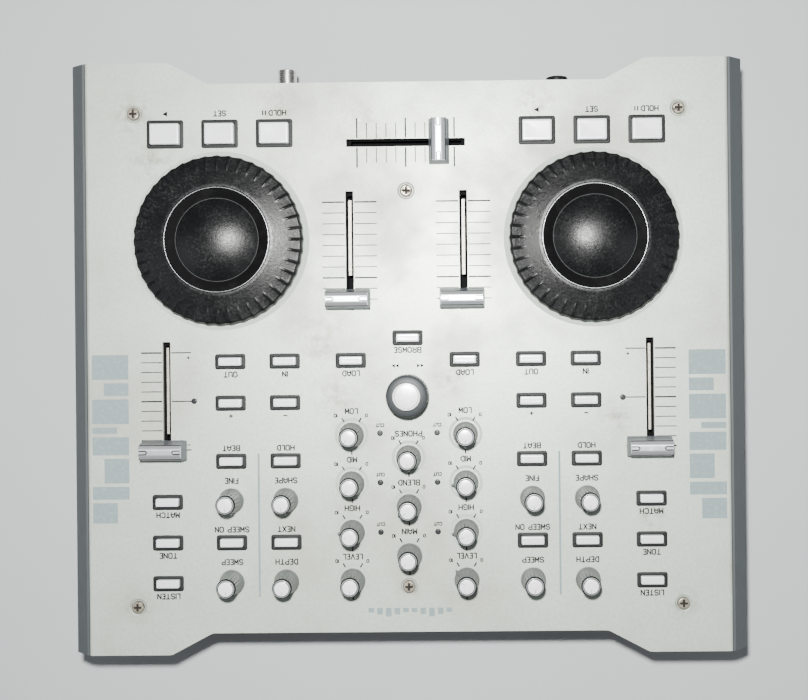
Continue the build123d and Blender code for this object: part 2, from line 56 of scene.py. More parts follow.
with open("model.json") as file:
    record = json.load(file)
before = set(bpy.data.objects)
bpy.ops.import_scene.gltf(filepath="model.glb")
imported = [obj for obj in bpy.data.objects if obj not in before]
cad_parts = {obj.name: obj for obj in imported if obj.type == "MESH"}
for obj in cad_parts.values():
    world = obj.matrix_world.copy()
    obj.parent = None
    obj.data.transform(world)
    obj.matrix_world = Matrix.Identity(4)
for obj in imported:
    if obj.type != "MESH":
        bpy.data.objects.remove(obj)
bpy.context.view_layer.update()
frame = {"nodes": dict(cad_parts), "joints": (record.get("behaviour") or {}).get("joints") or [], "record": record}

MM = 0.001  # shapes are worked out in millimetres and stored in metres


# ------------------------------------------------------------------ places read from the frame
def low_corner(node):
    """The lowest corner of a node's box at rest, in millimetres."""
    return np.array(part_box(node)[0]) / MM


def high_corner(node):
    """The highest corner of a node's box at rest, in millimetres."""
    return np.array(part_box(node)[1]) / MM


def middle(node):
    """The middle of a node's box at rest, in millimetres."""
    return (low_corner(node) + high_corner(node)) / 2


SIDES = ("left", "right")
PIVOTS = {j["child"]: np.array(j["pos_m"]) / MM for j in frame["joints"] if "pos_m" in j}
PANEL_TOP = high_corner("top_panel")[2]
PANEL_UNDER = low_corner("top_panel")[2]
JOGS = [f"jog_wheel_{side}" for side in SIDES]
SMALL_KNOBS = [n for n in frame["nodes"] if "knob" in n and n != "track_knob"]
CAPS = [n for n in frame["nodes"] if n.endswith("_cap") or "_fader_cap_" in n]
LARGE_KEYS = [f"{name}_key_{side}" for side in SIDES for name in ("play", "set_cue", "cue")]
# Where the line and pitch faders' slots stand across the panel: their caps sit beside the middle of them.
PANEL_SLOTS = {f"{kind}_fader_cap_{side}": sign * x for kind, x in (("line", 26.3), ("pitch", 111.7))
               for side, sign in (("left", -1), ("right", 1))}
SMALL_KEYS = [n for n in frame["nodes"] if ("_key_" in n or "_keys_" in n or n == "directory_key")
              and n not in LARGE_KEYS]
# Degrees that a pointer is turned from the rear at rest; the others point straight to the rear.
POINTER_TURNS = {"bass_knob_right": -43.0, "mid_knob_right": -40.0, "treble_knob_right": -85.0,
                 "mid_knob_left": -80.0, "treble_knob_left": -80.0, "gain_knob_left": -130.0,
                 "phones_mix_knob": -50.0, "master_volume_knob": -45.0}


# ------------------------------------------------------------------ colours
def linear(code, alpha=1.0):
    """An sRGB hex colour as linear values: c / 12.92 below 0.04045, else ((c + 0.055) / 1.055) ^ 2.4."""
    parts = [int(code[i:i + 2], 16) / 255 for i in (1, 3, 5)]
    return tuple(c / 12.92 if c <= 0.04045 else ((c + 0.055) / 1.055) ** 2.4 for c in parts) + (alpha,)


def colour(name, description, code):
    """A colour setting with an sRGB hex colour as its default."""
    return bpy.props.FloatVectorProperty(name=name, description=description, subtype="COLOR", size=4,
                                         min=0.0, max=1.0, default=linear(code))


def length(name, description, millimetres):
    """A length setting, given in millimetres and kept in metres."""
    return bpy.props.FloatProperty(name=name, description=description, unit="LENGTH",
                                   default=millimetres * MM)


# ------------------------------------------------------------------ settings
class CONTROLLER_PG_finishes(bpy.types.PropertyGroup):
    """The base colour of each finish"""
    panel: colour("Panel", "Light silver-grey paint of the top panel", "#C3CCC2")
    panel_smudge: colour("Smudge", "Hand smudges and settled dust on the paint", "#8E8B80")
    case: colour("Case", "Matt black powder coat of the case", "#17181A")
    cheek: colour("Cheek", "Grey moulding of the end cheeks", "#43484A")
    bezel: colour("Key frame", "Dark grey moulding round the keys", "#17191A")
    key: colour("Key", "Silver-white paint of the keys", "#EDEFF1")
    knob: colour("Knob", "Grey moulding of the knobs", "#5E6261")
    knob_cap: colour("Knob cap", "Silver-white disc in the top of a knob", "#F6F7F8")
    # the flanks' grey is darker than the ridge's silver as painted shade on their upright sides
    fader: colour("Fader cap", "Grey lacquer on the flanks of the fader caps", "#5C6068")
    fader_ridge: colour("Fader ridge", "Silver lacquer on the ridge of the fader caps", "#E2E5EA")
    jog: colour("Jog wheel", "Black moulding of the jog wheels", "#0B0C0D")
    jog_dust: colour("Jog dust", "Dust and wear on the jog wheels", "#6E7070")
    ink_dark: colour("Dark ink", "Ink of the scale lines and labels", "#101110")
    ink_pale: colour("Pale ink", "Ink of the lines and the side blocks", "#7D8C8E")
    ink_ring: colour("Ring ink", "Grey-green ink of the rings round the knobs and the jog wheels", "#A9B0A9")


class CONTROLLER_PG_jog(bpy.types.PropertyGroup):
    """The shape of the jog wheels"""
    radius: length("Rim radius", "Radius at the tips of the scallops", 39.2)
    scallops: bpy.props.IntProperty(name="Scallops", default=44, description="Notches round the rim, with a "
                                    "thin rib between each two")
    rib_height: length("Rib height", "How far a rib stands up", 0.26)
    notch_depth: length("Notch depth", "How deep a scallop cuts into the rim", 0.42)
    ring_radius: length("Ring radius", "Radius of the bright trim ring", 23.8)
    dome_radius: length("Dome radius", "Radius of the domed middle", 19.0)
    dome_rise: length("Dome rise", "Height of the dome's middle above its edge", 5.1)


class CONTROLLER_PG_knob(bpy.types.PropertyGroup):
    """The shape of the small knobs"""
    flutes: bpy.props.IntProperty(name="Flutes", description="Grip flutes round a knob", default=16)
    flute_depth: length("Flute depth", "Depth of a flute in the grip", 0.55)
    cap_radius: length("Cap radius", "Radius of the bright disc in the top", 3.25)


class CONTROLLER_PG_stage(bpy.types.PropertyGroup):
    """The camera and the floor"""
    camera_place: bpy.props.FloatVectorProperty(name="Camera place", description="Where the camera stands",
                                                subtype="TRANSLATION", unit="LENGTH",
                                                default=(-0.0289, -0.0165, 0.5767))
    camera_tilt: bpy.props.FloatVectorProperty(name="Camera tilt", subtype="EULER",
                                               description="Small turns about its own three axes",
                                               default=(0.0021, 0.0100, -0.0104))
    lens: bpy.props.FloatProperty(name="Lens", default=51.3,
                                  description="Focal length for a frame 36 mm wide")
    shift: bpy.props.FloatVectorProperty(name="Shift", size=2, default=(-0.0673, -0.0399),
                                         description="Shift of the lens as a share of the frame's width")
    floor: colour("Floor", "Pale floor", "#B4B7B9")


GROUPS = {"controller_finishes": CONTROLLER_PG_finishes, "controller_jog": CONTROLLER_PG_jog,
          "controller_knob": CONTROLLER_PG_knob, "controller_stage": CONTROLLER_PG_stage}


def settings(name):
    """One group of settings, by its short name."""
    return getattr(bpy.context.scene, "controller_" + name)


# ------------------------------------------------------------------ surfaces
def skin(rings, closed=False):
    """Points and faces over a stack of rings, an array (rings, points, 3).

    Each face joins two neighbouring points of one ring to the same two of the next. A closed stack joins
    its last ring to its first, and an open one gets a flat face on its first and on its last ring.
    The signed volume, a sixth of the sum of a . (b x c) over the triangles, tells whether the faces point
    outwards, and they are all turned when it is negative.
    """
    count, around = rings.shape[:2]
    ring = np.arange(count if closed else count - 1)[:, None]
    point = np.arange(around)[None, :]
    above, beside = (ring + 1) % count, (point + 1) % around
    quads = np.stack([ring * around + point, ring * around + beside,
                      above * around + beside, above * around + point], -1).reshape(-1, 4)
    edge = np.arange(around)
    ends = [] if closed else [edge[::-1], edge + (count - 1) * around]
    points = rings.reshape(-1, 3)
    a, b, c, d = points[quads].transpose(1, 0, 2)
    volume = (np.cross(a, b) * c + np.cross(a, c) * d).sum()
    for end in ends:
        rim = points[end]
        volume += (np.cross(rim[:1], rim[1:-1]) * rim[2:]).sum()
    way = 1 if volume > 0 else -1
    return points, quads[:, ::way].tolist() + [end[::way].tolist() for end in ends]


def soften(corners, radii, steps=4):
    """A profile with its corners rounded: each corner with a radius becomes a quadratic curve that starts
    and ends that far from it on the lines to its neighbours, (1-t)^2 A + 2t(1-t) B + t^2 C."""
    corner = np.asarray(corners, float)
    radius = np.asarray(radii, float)[:, None]
    before, after = np.roll(corner, 1, 0) - corner, np.roll(corner, -1, 0) - corner
    start = corner + before / np.linalg.norm(before, axis=1, keepdims=True) * radius
    end = corner + after / np.linalg.norm(after, axis=1, keepdims=True) * radius
    t = np.linspace(0, 1, steps)[None, :, None]
    curve = (1 - t) ** 2 * start[:, None] + 2 * t * (1 - t) * corner[:, None] + t ** 2 * end[:, None]
    keep = (radius > 0) | (np.arange(steps)[None, :] == 0)
    return curve[keep]


def lathe(profile, sides, closed=False, shape=None):
    """A turned surface: the point at profile place (r, z) and angle a is (r cos a, r sin a, z).

    shape may change r and z: it gets the arrays r, z and a, and returns the new r and z.
    """
    radius, height = np.asarray(profile, float).T[:, :, None]
    angle = (np.arange(sides) * 2 * np.pi / sides)[None, :]
    radius, height, angle = np.broadcast_arrays(radius, height, angle)
    if shape:
        radius, height = shape(radius, height, angle)
    return skin(np.stack([radius * np.cos(angle), radius * np.sin(angle), height], -1), closed)


def rectangles(rows, closed=False, steps=5):
    """A stack of rounded rectangles. A row is half width, half depth, corner radius and height.

    Each outline is four quarter circles, whose centres stand one corner radius inside the two sides.
    """
    half_x, half_y, corner, height = np.asarray(rows, float).T[:, :, None, None]
    quarter = np.arange(4)[None, :, None]
    angle = (quarter + np.linspace(0, 1, steps)[None, None, :]) * np.pi / 2
    sign_x = np.array([1, -1, -1, 1])[None, :, None]
    sign_y = np.array([1, 1, -1, -1])[None, :, None]
    x = sign_x * (half_x - corner) + corner * np.cos(angle)
    y = sign_y * (half_y - corner) + corner * np.sin(angle)
    z = np.broadcast_to(height, x.shape)
    return skin(np.stack([x, y, z], -1).reshape(len(rows), -1, 3), closed)


def ribbon(path, width, low, high, closed=False):
    """A flat strip along a path in the plane: each point moves half the width to either side, at right
    angles to the path's own direction there, and the strip reaches from one height to the other."""
    path = np.asarray(path, float)
    if closed:
        along = np.roll(path, -1, 0) - np.roll(path, 1, 0)
    else:
        along = np.gradient(path, axis=0)
    along /= np.linalg.norm(along, axis=1, keepdims=True)
    side = np.stack([-along[:, 1], along[:, 0]], -1) * width / 2
    left, right = path + side, path - side
    corners = [(right, low), (left, low), (left, high), (right, high)]
    rings = np.stack([np.column_stack([p, np.full(len(p), z)]) for p, z in corners], 1)
    return skin(rings, closed)


def disc_ring(inner, outer, low, high, sides=64):
    """A flat ring: the rectangle between two radii and two heights, turned about the upright axis."""
    return lathe([(inner, low), (outer, low), (outer, high), (inner, high)], sides, closed=True)


def moved(part, x=0.0, y=0.0, z=0.0, turn=0.0):
    """The same shape turned about the upright axis by degrees, then moved."""
    points, faces = part
    a = math.radians(turn)
    spin = np.array([[math.cos(a), math.sin(a), 0], [-math.sin(a), math.cos(a), 0], [0, 0, 1]])
    return points @ spin + np.array([x, y, z]), faces


def tipped(part, x, z):
    """The same shape with its upright axis laid along -Y: (x, y, z) becomes (x, -z, y)."""
    points, faces = part
    return np.stack([points[:, 0] + x, -points[:, 2], points[:, 1] + z], -1), faces


def facing_rear(part, x, y, z):
    """The same shape with its upright axis laid along +Y: (x, y, z) becomes (-x, z, y), then moved."""
    points, faces = part
    return np.stack([-points[:, 0] + x, points[:, 2] + y, points[:, 1] + z], -1), faces


def joined(parts):
    """Several shapes as one, with the face numbers shifted along."""
    points, faces, start = [], [], 0
    for some_points, some_faces in parts:
        points.append(some_points)
        faces += [[i + start for i in face] for face in some_faces]
        start += len(some_points)
    return np.concatenate(points), faces


def make_piece(name, part, material, body, replaces=(), smooth=35.0):
    """Put a shape into a mesh, in metres, and hang it on its body.

    Faces that meet under that many degrees of smooth blend into each other.
    """
    points, faces = part
    mesh = bpy.data.meshes.new(name)
    mesh.from_pydata(points * MM, [], faces)
    mesh.materials.append(material)
    mesh.update()
    piece = bpy.data.objects.new(name, mesh)
    bpy.context.scene.collection.objects.link(piece)
    if smooth:
        mesh.shade_smooth()
        mesh.set_sharp_from_angle(angle=math.radians(smooth))
    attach(piece, body)
    if replaces:
        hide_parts(*replaces)
    return piece


# Each letter as strokes on a grid 4 wide and 6 high: a point is two digits, across and up.
STROKES = {
    "A": "00 04 26 44 40/02 42", "B": "00 06 36 45 44 33 03/33 42 41 30 00", "C": "45 36 16 05 01 10 30 41",
    "D": "00 06 26 44 42 20 00", "E": "36 06 00 30/03 23", "F": "36 06 00/03 23",
    "G": "45 36 16 05 01 10 30 41 43 23",
    "H": "06 00/46 40/03 43", "I": "06 00", "L": "06 00 30", "M": "00 06 22 46 40", "N": "00 06 40 46",
    "O": "20 10 01 05 16 36 45 41 30 20", "P": "00 06 36 45 44 33 03", "R": "00 06 36 45 44 33 03/23 40",
    "S": "45 36 16 05 04 13 33 42 41 30 10 01", "T": "06 46/26 20", "U": "06 01 10 30 41 46", "V": "06 20 46",
    "W": "06 00 24 40 46", "X": "00 46/06 40", "0": "20 10 01 05 16 36 45 41 30 20", "1": "05 16 10",
    "+": "03 43/21 25", "-": "03 43", " ": "",
}


def lettering(text, size, x, y, low, high):
    """Letters drawn with straight strokes, a hair thick.

    Each straight run between two grid points is its own strip, 0.23 of the letter's height wide and at least
    0.42 mm, and reaches 0.3 of its width past both points. Its top is a little higher than that of the run
    before it, over four runs, so that no two faces lie in one plane where runs cross.
    """
    unit, wide = size / 6, max(size * 0.23, 0.42)
    letters = [[np.array([[int(p[0]), int(p[1])] for p in run.split()], float)
                for run in STROKES[c].split("/") if run] for c in text]
    widths = [max((run[:, 0].max() for run in runs), default=2.0) + 1.8 for runs in letters]
    starts = np.cumsum([0.0] + widths[:-1]) - (sum(widths) - 1.8) / 2
    strips = []
    for runs, begin in zip(letters, starts):
        for run in runs:
            run = (run + (begin, -3.0)) * unit
            along = np.diff(run, axis=0)
            reach = along / np.linalg.norm(along, axis=1, keepdims=True) * wide * 0.3
            for i, ends in enumerate(np.stack([run[:-1] - reach, run[1:] + reach], 1)):
                strips.append(ribbon(ends, wide, low, high + 0.003 * (i % 4)))
    return moved(joined(strips), x, y)


# ------------------------------------------------------------------ materials
def add(tree, kind, inputs=(), **values):
    """Add one node: values are its own settings, and inputs maps a socket to a number or another output."""
    made = tree.nodes.new(kind)
    for name, value in values.items():
        setattr(made, name, value)
    for socket, value in dict(inputs).items():
        if isinstance(value, bpy.types.NodeSocket):
            tree.links.new(value, made.inputs[socket])
        else:
            made.inputs[socket].default_value = value
    return made


def start(name, base, roughness, metallic=0.0, **sockets):
    """A new material: its node tree, its shader and the piece's own coordinates, in metres."""
    material = bpy.data.materials.new(name)
    material.use_nodes = True
    tree = material.node_tree
    shader = tree.nodes["Principled BSDF"]
    shader.inputs["Base Color"].default_value = base
    shader.inputs["Roughness"].default_value = roughness
    shader.inputs["Metallic"].default_value = metallic
    for socket, value in sockets.items():
        shader.inputs[socket.replace("_", " ")].default_value = value
    place = add(tree, "ShaderNodeTexCoord").outputs["Object"]
    return material, tree, shader, place


def feed(tree, shader, **sockets):
    """Lead an output into each named socket of the shader."""
    for socket, value in sockets.items():
        tree.links.new(value, shader.inputs[socket.replace("_", " ")])


def grain(tree, place, millimetres, detail=2.0, roughness=0.5):
    """A cloudy pattern whose patches are about that many millimetres across, from 0 to 1."""
    return add(tree, "ShaderNodeTexNoise", {"Vector": place, "Scale": 1 / (millimetres * MM), "Detail": detail,
                                            "Roughness": roughness}).outputs["Fac"]


def ramp(tree, value, low, high, low_to=0.0, high_to=1.0):
    """A value stretched from one range to another, and kept inside it."""
    return add(tree, "ShaderNodeMapRange", {"Value": value, "From Min": low, "From Max": high,
                                            "To Min": low_to, "To Max": high_to},
               clamp=True).outputs["Result"]


def mixed(tree, amount, first, second):
    """The first colour turning into the second as the amount goes from 0 to 1."""
    return add(tree, "ShaderNodeMixRGB", {"Fac": amount, "Color1": first, "Color2": second}).outputs["Color"]


def darker(base, share):
    """A colour with its red, green and blue multiplied by a share."""
    return tuple(c * share for c in base[:3]) + (1.0,)


def merged(tree, operation, first, second):
    """Two values added, multiplied or compared by one node."""
    return add(tree, "ShaderNodeMath", {0: first, 1: second}, operation=operation).outputs[0]


def raised(tree, shader, height, millimetres, strength=1.0):
    """Fine relief of that depth on the surface, from a pattern between 0 and 1."""
    bump = add(tree, "ShaderNodeBump", {"Height": height, "Distance": millimetres * MM, "Strength": strength})
    feed(tree, shader, Normal=bump.outputs["Normal"])


# Where dust settles on the panel: x, y and radius in millimetres, the six screws first.
DIRTY_SPOTS = [(-126.0, -113.5, 9), (126.0, -113.5, 13), (-126.0, 114.8, 9), (126.0, 114.8, 9),
               (0.4, 106.2, 8), (0.0, -76.7, 6), (-96.0, 28.0, 10), (60.0, -117.0, 12), (20.0, -108.0, 16),
               (118.0, -92.0, 14), (-60.0, -116.0, 12), (34.0, 18.0, 14), (-18.0, 10.0, 12),
               (-112.0, 75.0, 8), (40.0, -8.0, 18)]


def nearness(tree, place, spots):
    """How near a point is to the closest of some upright axes: 1 on an axis, 0 at its radius and beyond."""
    best = None
    for x, y, radius in spots:
        away = add(tree, "ShaderNodeVectorMath", {0: place, 1: (x * MM, y * MM, 0.0)}, operation="SUBTRACT")
        flat = add(tree, "ShaderNodeVectorMath", {0: away.outputs[0], 1: (1.0, 1.0, 0.0)}, operation="MULTIPLY")
        far = add(tree, "ShaderNodeVectorMath", {0: flat.outputs[0]}, operation="LENGTH").outputs["Value"]
        here = ramp(tree, far, 0.0, radius * MM, 1.0, 0.0)
        best = here if best is None else merged(tree, "MAXIMUM", best, here)
    return best


def painted_panel():
    """Sprayed silver-grey paint on sheet metal: a fine pebble in the lacquer, broad faint smudges from
    hands, brown dust round the screws and in the places that fingers miss, and a few small dark scuffs."""
    look = settings("finishes")
    material, tree, shader, place = start("sprayed_silver_grey_paint", look.panel, 0.44, 0.3,
                                          Specular_IOR_Level=0.4)
    fleck = ramp(tree, grain(tree, place, 1.5, 4.0, 0.8), 0.38, 0.66, 0.0, 0.55)
    paint = mixed(tree, fleck, look.panel, darker(look.panel, 0.68))
    smudge = ramp(tree, grain(tree, place, 60.0, 4.0, 0.6), 0.42, 0.72, 0.0, 0.6)
    dirty = mixed(tree, smudge, paint, look.panel_smudge)
    near = nearness(tree, place, DIRTY_SPOTS)
    dust = merged(tree, "MULTIPLY", near, ramp(tree, grain(tree, place, 5.0, 4.0, 0.7), 0.42, 0.62))
    dirty = mixed(tree, ramp(tree, dust, 0.0, 0.8, 0.0, 0.55), dirty, linear("#7A7362"))
    speck = ramp(tree, grain(tree, place, 2.2, 3.0, 0.7), 0.70, 0.80, 0.0, 0.4)
    feed(tree, shader, Base_Color=mixed(tree, speck, dirty, linear("#5A5344")),
         Roughness=ramp(tree, smudge, 0.0, 0.5, 0.40, 0.55))
    raised(tree, shader, grain(tree, place, 1.2, 3.0), 0.05, 0.6)  # a 0.3 mm pebble, drawn coarser to show
    return material


def powder_coat():
    """Black powder coat baked on folded sheet: matt with an even orange-peel pebble."""
    material, tree, shader, place = start("black_powder_coat", settings("finishes").case, 0.6)
    raised(tree, shader, grain(tree, place, 0.8), 0.06, 0.6)
    return material


def spark_eroded(name, base, roughness, pebble=0.6, sheen=0.5):
    """Injection-moulded ABS from a spark-eroded tool: an even fine pebble that scatters the light."""
    material, tree, shader, place = start(name, base, roughness, Specular_IOR_Level=sheen)
    tone = ramp(tree, grain(tree, place, 9.0, 3.0), 0.4, 0.75, 0.0, 0.35)
    feed(tree, shader, Base_Color=mixed(tree, tone, base, darker(base, 0.85)))
    raised(tree, shader, grain(tree, place, pebble), 0.04, 0.5)
    return material


def silver_lacquer(name, base, roughness=0.3, metallic=0.35):
    """Silver lacquer sprayed on moulded ABS: a soft metallic sheen under a thin clear coat."""
    material, tree, shader, place = start(name, base, roughness, metallic, Coat_Weight=0.25, Coat_Roughness=0.2)
    worn = ramp(tree, grain(tree, place, 3.5, 3.0, 0.6), 0.52, 0.8, 0.0, 0.3)
    feed(tree, shader, Base_Color=mixed(tree, worn, base, darker(base, 0.8)),
         Roughness=ramp(tree, worn, 0.0, 0.3, roughness, roughness + 0.12))
    return material


def worn_black():
    """Soft black ABS of the jog wheels, rubbed by fingers: a fine grain that glitters where it faces the
    light, a little grey dust on its high spots, and cloudy patches where the sheen is dulled."""
    look = settings("finishes")
    material, tree, shader, place = start("moulded_black_abs_worn", look.jog, 0.36, Specular_IOR_Level=0.34)
    cloud = ramp(tree, grain(tree, place, 14.0, 4.0, 0.65), 0.40, 0.68)
    pebble = grain(tree, place, 1.15, 4.0, 0.75)  # a 0.3 mm grain, drawn coarser to show
    dust = merged(tree, "MULTIPLY", cloud, ramp(tree, pebble, 0.52, 0.66, 0.0, 0.13))
    feed(tree, shader, Base_Color=mixed(tree, dust, look.jog, look.jog_dust),
         Roughness=merged(tree, "ADD", ramp(tree, cloud, 0.0, 1.0, 0.24, 0.32),
                          ramp(tree, pebble, 0.35, 0.65, 0.0, 0.14)))
    raised(tree, shader, pebble, 0.085)
    return material


def matt_black():
    """Plain black ABS deep in the jog groove, where fingers don't reach: even and almost without sheen."""
    base = linear("#060607")
    material, tree, shader, place = start("plain_black_abs", base, 0.7, Specular_IOR_Level=0.06)
    haze = ramp(tree, grain(tree, place, 5.0, 3.0), 0.5, 0.8, 0.0, 0.02)
    feed(tree, shader, Base_Color=mixed(tree, haze, base, linear("#808080")))
    return material


def plated(name, base, roughness, scratch=0.5):
    """Plate or a bright skin over turned metal: bright, with fine marks that break up its reflections."""
    material, tree, shader, place = start(name, base, roughness, 1.0)
    marks = grain(tree, place, scratch, 3.0, 0.6)
    feed(tree, shader, Roughness=ramp(tree, marks, 0.3, 0.8, roughness * 0.8, roughness * 1.5))
    raised(tree, shader, marks, 0.01, 0.3)
    return material


def rusty_steel():
    """Zinc-plated steel screws: dull grey plate, with brown rust and old dust filling the cross recess."""
    plate, brown = linear("#A39D8E"), linear("#1C1610")
    material, tree, shader, place = start("zinc_plated_steel", plate, 0.4, 0.7)
    height = add(tree, "ShaderNodeSeparateXYZ", {"Vector": place}).outputs["Z"]
    head_top = (PANEL_TOP + 1.1) * MM
    sunk = ramp(tree, height, head_top - 0.0009, head_top - 0.0003, 1.0, 0.0)
    blotch = ramp(tree, grain(tree, place, 1.6, 4.0, 0.7), 0.46, 0.60, 0.0, 0.75)
    rust = merged(tree, "MAXIMUM", sunk, blotch)
    feed(tree, shader, Base_Color=mixed(tree, rust, plate, brown),
         Metallic=ramp(tree, rust, 0.0, 0.8, 0.7, 0.05), Roughness=ramp(tree, rust, 0.0, 0.8, 0.38, 0.85))
    return material


def plain(name, base, roughness, metallic=0.0, patch=4.0, change=0.85):
    """A simple moulded, laminated or cast surface with slight cloudiness in its tone."""
    material, tree, shader, place = start(name, base, roughness, metallic)
    tone = ramp(tree, grain(tree, place, patch, 3.0), 0.4, 0.7, 0.0, 0.6)
    feed(tree, shader, Base_Color=mixed(tree, tone, base, darker(base, change)))
    return material


def screen_ink(name, base, worn=0.1):
    """Screen-printed ink, matt and worn thin in places so that some paint shows through."""
    material, tree, shader, place = start(name, base, 0.8, Specular_IOR_Level=0.12)
    thin = ramp(tree, grain(tree, place, 1.8, 3.0, 0.6), 0.5, 0.75, 0.0, worn)
    feed(tree, shader, Base_Color=mixed(tree, thin, base, settings("finishes").panel))
    return material


class ControllerOperator:
    """What every step has in common."""
    bl_options = {"REGISTER", "UNDO"}


# ------------------------------------------------------------------ casing
class CONTROLLER_OT_casing(ControllerOperator, bpy.types.Operator):
    """Give the casing, its fasteners and the electronics inside their finishes"""
    bl_idname = "controller.casing"
    bl_label = "Casing and Insides"

    def execute(self, context):
        look = settings("finishes")
        cheek = spark_eroded("moulded_grey_abs", look.cheek, 0.5)
        finishes = {
            "top_panel": painted_panel(),
            "bottom_case": powder_coat(),
            "side_cheek_left": cheek,
            "side_cheek_right": cheek,
            "casing_screws": rusty_steel(),
            # dull and dark, so that the feet stay in the shadow below
            "rubber_feet": plain("moulded_black_rubber", linear("#121212"), 0.85),
            # the deep green of a board under its resist, with a low gloss
            "control_board": plain("green_glass_fibre_laminate", linear("#1E4A2C"), 0.45),
            # flat black, so that a slot reads as a dark gap
            "fader_tracks": screen_ink("folded_steel_painted_black", linear("#08080A"), 0.0),
            # the cloudy grey of a casting
            "rotary_pots": plain("die_cast_zinc", linear("#8F8F8D"), 0.45, 1.0),
            # black with a slight gloss
            "key_switches": plain("moulded_black_nylon", linear("#141414"), 0.5),
            # unlit and almost black, with a small highlight
            "indicator_lamps": plain("smoked_clear_epoxy", linear("#1C1E20"), 0.3),
            # brighter and smoother than the castings
            "jog_bearings": plain("turned_steel", linear("#A0A0A0"), 0.3, 1.0),
        }
        for node, material in finishes.items():
            mesh = frame["nodes"][node].data
            mesh.materials.clear()
            mesh.materials.append(material)
        return {"FINISHED"}


# ------------------------------------------------------------------ printing
INK = (PANEL_TOP - 0.02, PANEL_TOP + 0.025)  # the underside and the top of a printed layer


def line(x0, y0, x1, y1, width):
    """A printed straight line, or a block when its width is large."""
    return ribbon([(x0, y0), (x1, y1)], width, *INK)


def word(text, x, y, size=2.3):
    """A printed word with its middle at a place."""
    return lettering(text, size, x, y, *INK)


def triangle(outline):
    """A printed triangle: its outline once at each height of the ink."""
    return skin(np.array([[(x, y, z) for x, y in outline] for z in INK]))


def ring_print(x, y, inner, outer):
    """A printed ring round a place."""
    return moved(disc_ring(inner, outer, *INK), x, y)


FADER_TRAVEL = 45.0
SLOT_EDGE = 2.2  # where a scale line stops beside its slot


def crossfader_scale():
    """Eleven lines across the crossfader's slot, the two end ones and the middle one longer."""
    y = middle("crossfader_cap")[1]
    lines = []
    for i in range(11):
        x = (i / 10 - 0.5) * FADER_TRAVEL
        strong = i in (0, 5, 10)
        reach = 11.4 if strong else 9.2
        for way in (-1, 1):
            lines.append(line(x, y + way * SLOT_EDGE, x, y + way * reach, 0.68 if strong else 0.4))
    return lines


def line_fader_scale(x, rear):
    """Ten lines across a line fader's slot; the front one and the one near its rear end are heavier."""
    lines = []
    for i in range(10):
        y = rear - FADER_TRAVEL + i * FADER_TRAVEL / 9
        for way in (-1, 1):
            lines.append(line(x + way * SLOT_EDGE, y, x + way * 12.6, y, 0.66 if i in (0, 7) else 0.4))
    return lines


def pitch_fader_scale(x, rear):
    """Eleven lines on the outer side of a pitch fader, and long ones inwards at the ends and the middle."""
    out = np.sign(x)
    lines = []
    for i in range(11):
        y = rear - FADER_TRAVEL + i * FADER_TRAVEL / 10
        strong = i in (0, 5, 10)
        lines.append(line(x + out * SLOT_EDGE, y, x + out * 11.9, y, 0.66 if strong else 0.42))
        if strong:
            lines.append(line(x - out * SLOT_EDGE, y, x - out * 11.3, y, 0.5))
    lines += [line(x - out * 10.8, rear - 42.6, x - out * 9.4, rear - 42.6, 0.45),
              line(x - out * 10.1, rear - 43.3, x - out * 10.1, rear - 41.9, 0.45),
              line(x - out * 10.8, rear - 2.3, x - out * 9.4, rear - 2.3, 0.45)]
    return lines


def knob_scale(x, y):
    """Two lines at the ends of a knob's turn, 30 degrees either side of the front, and one at the rear."""
    lines = [line(x, y + 7.0, x, y + 9.2, 0.55)]
    for way in (-1, 1):
        s, c = way * math.sin(math.radians(30)), -math.cos(math.radians(30))
        lines.append(line(x + 6.9 * s, y + 6.9 * c, x + 9.0 * s, y + 9.0 * c, 0.62))
    lines += [word("0", x - 6.9, y - 8.9, 1.35), word("10", x + 7.2, y - 8.9, 1.35)]
    return lines


def side_blocks(sign):
    """A tall column of plain stepped blocks, printed large beside each pitch fader."""
    blocks = []
    heights = (13.0, 7.5, 13.0, 4.5, 10.0, 13.0, 7.5, 11.0)
    y = -2.0
    for i, tall in enumerate(heights):
        wide = (17.0, 11.5)[i % 2]
        x = sign * (138.0 - (17.0 - wide) / 2 * (1 if i % 4 == 1 else -1))
        blocks.append(line(x, y, x, y + tall - 1.6, wide))
        y += tall
    return blocks


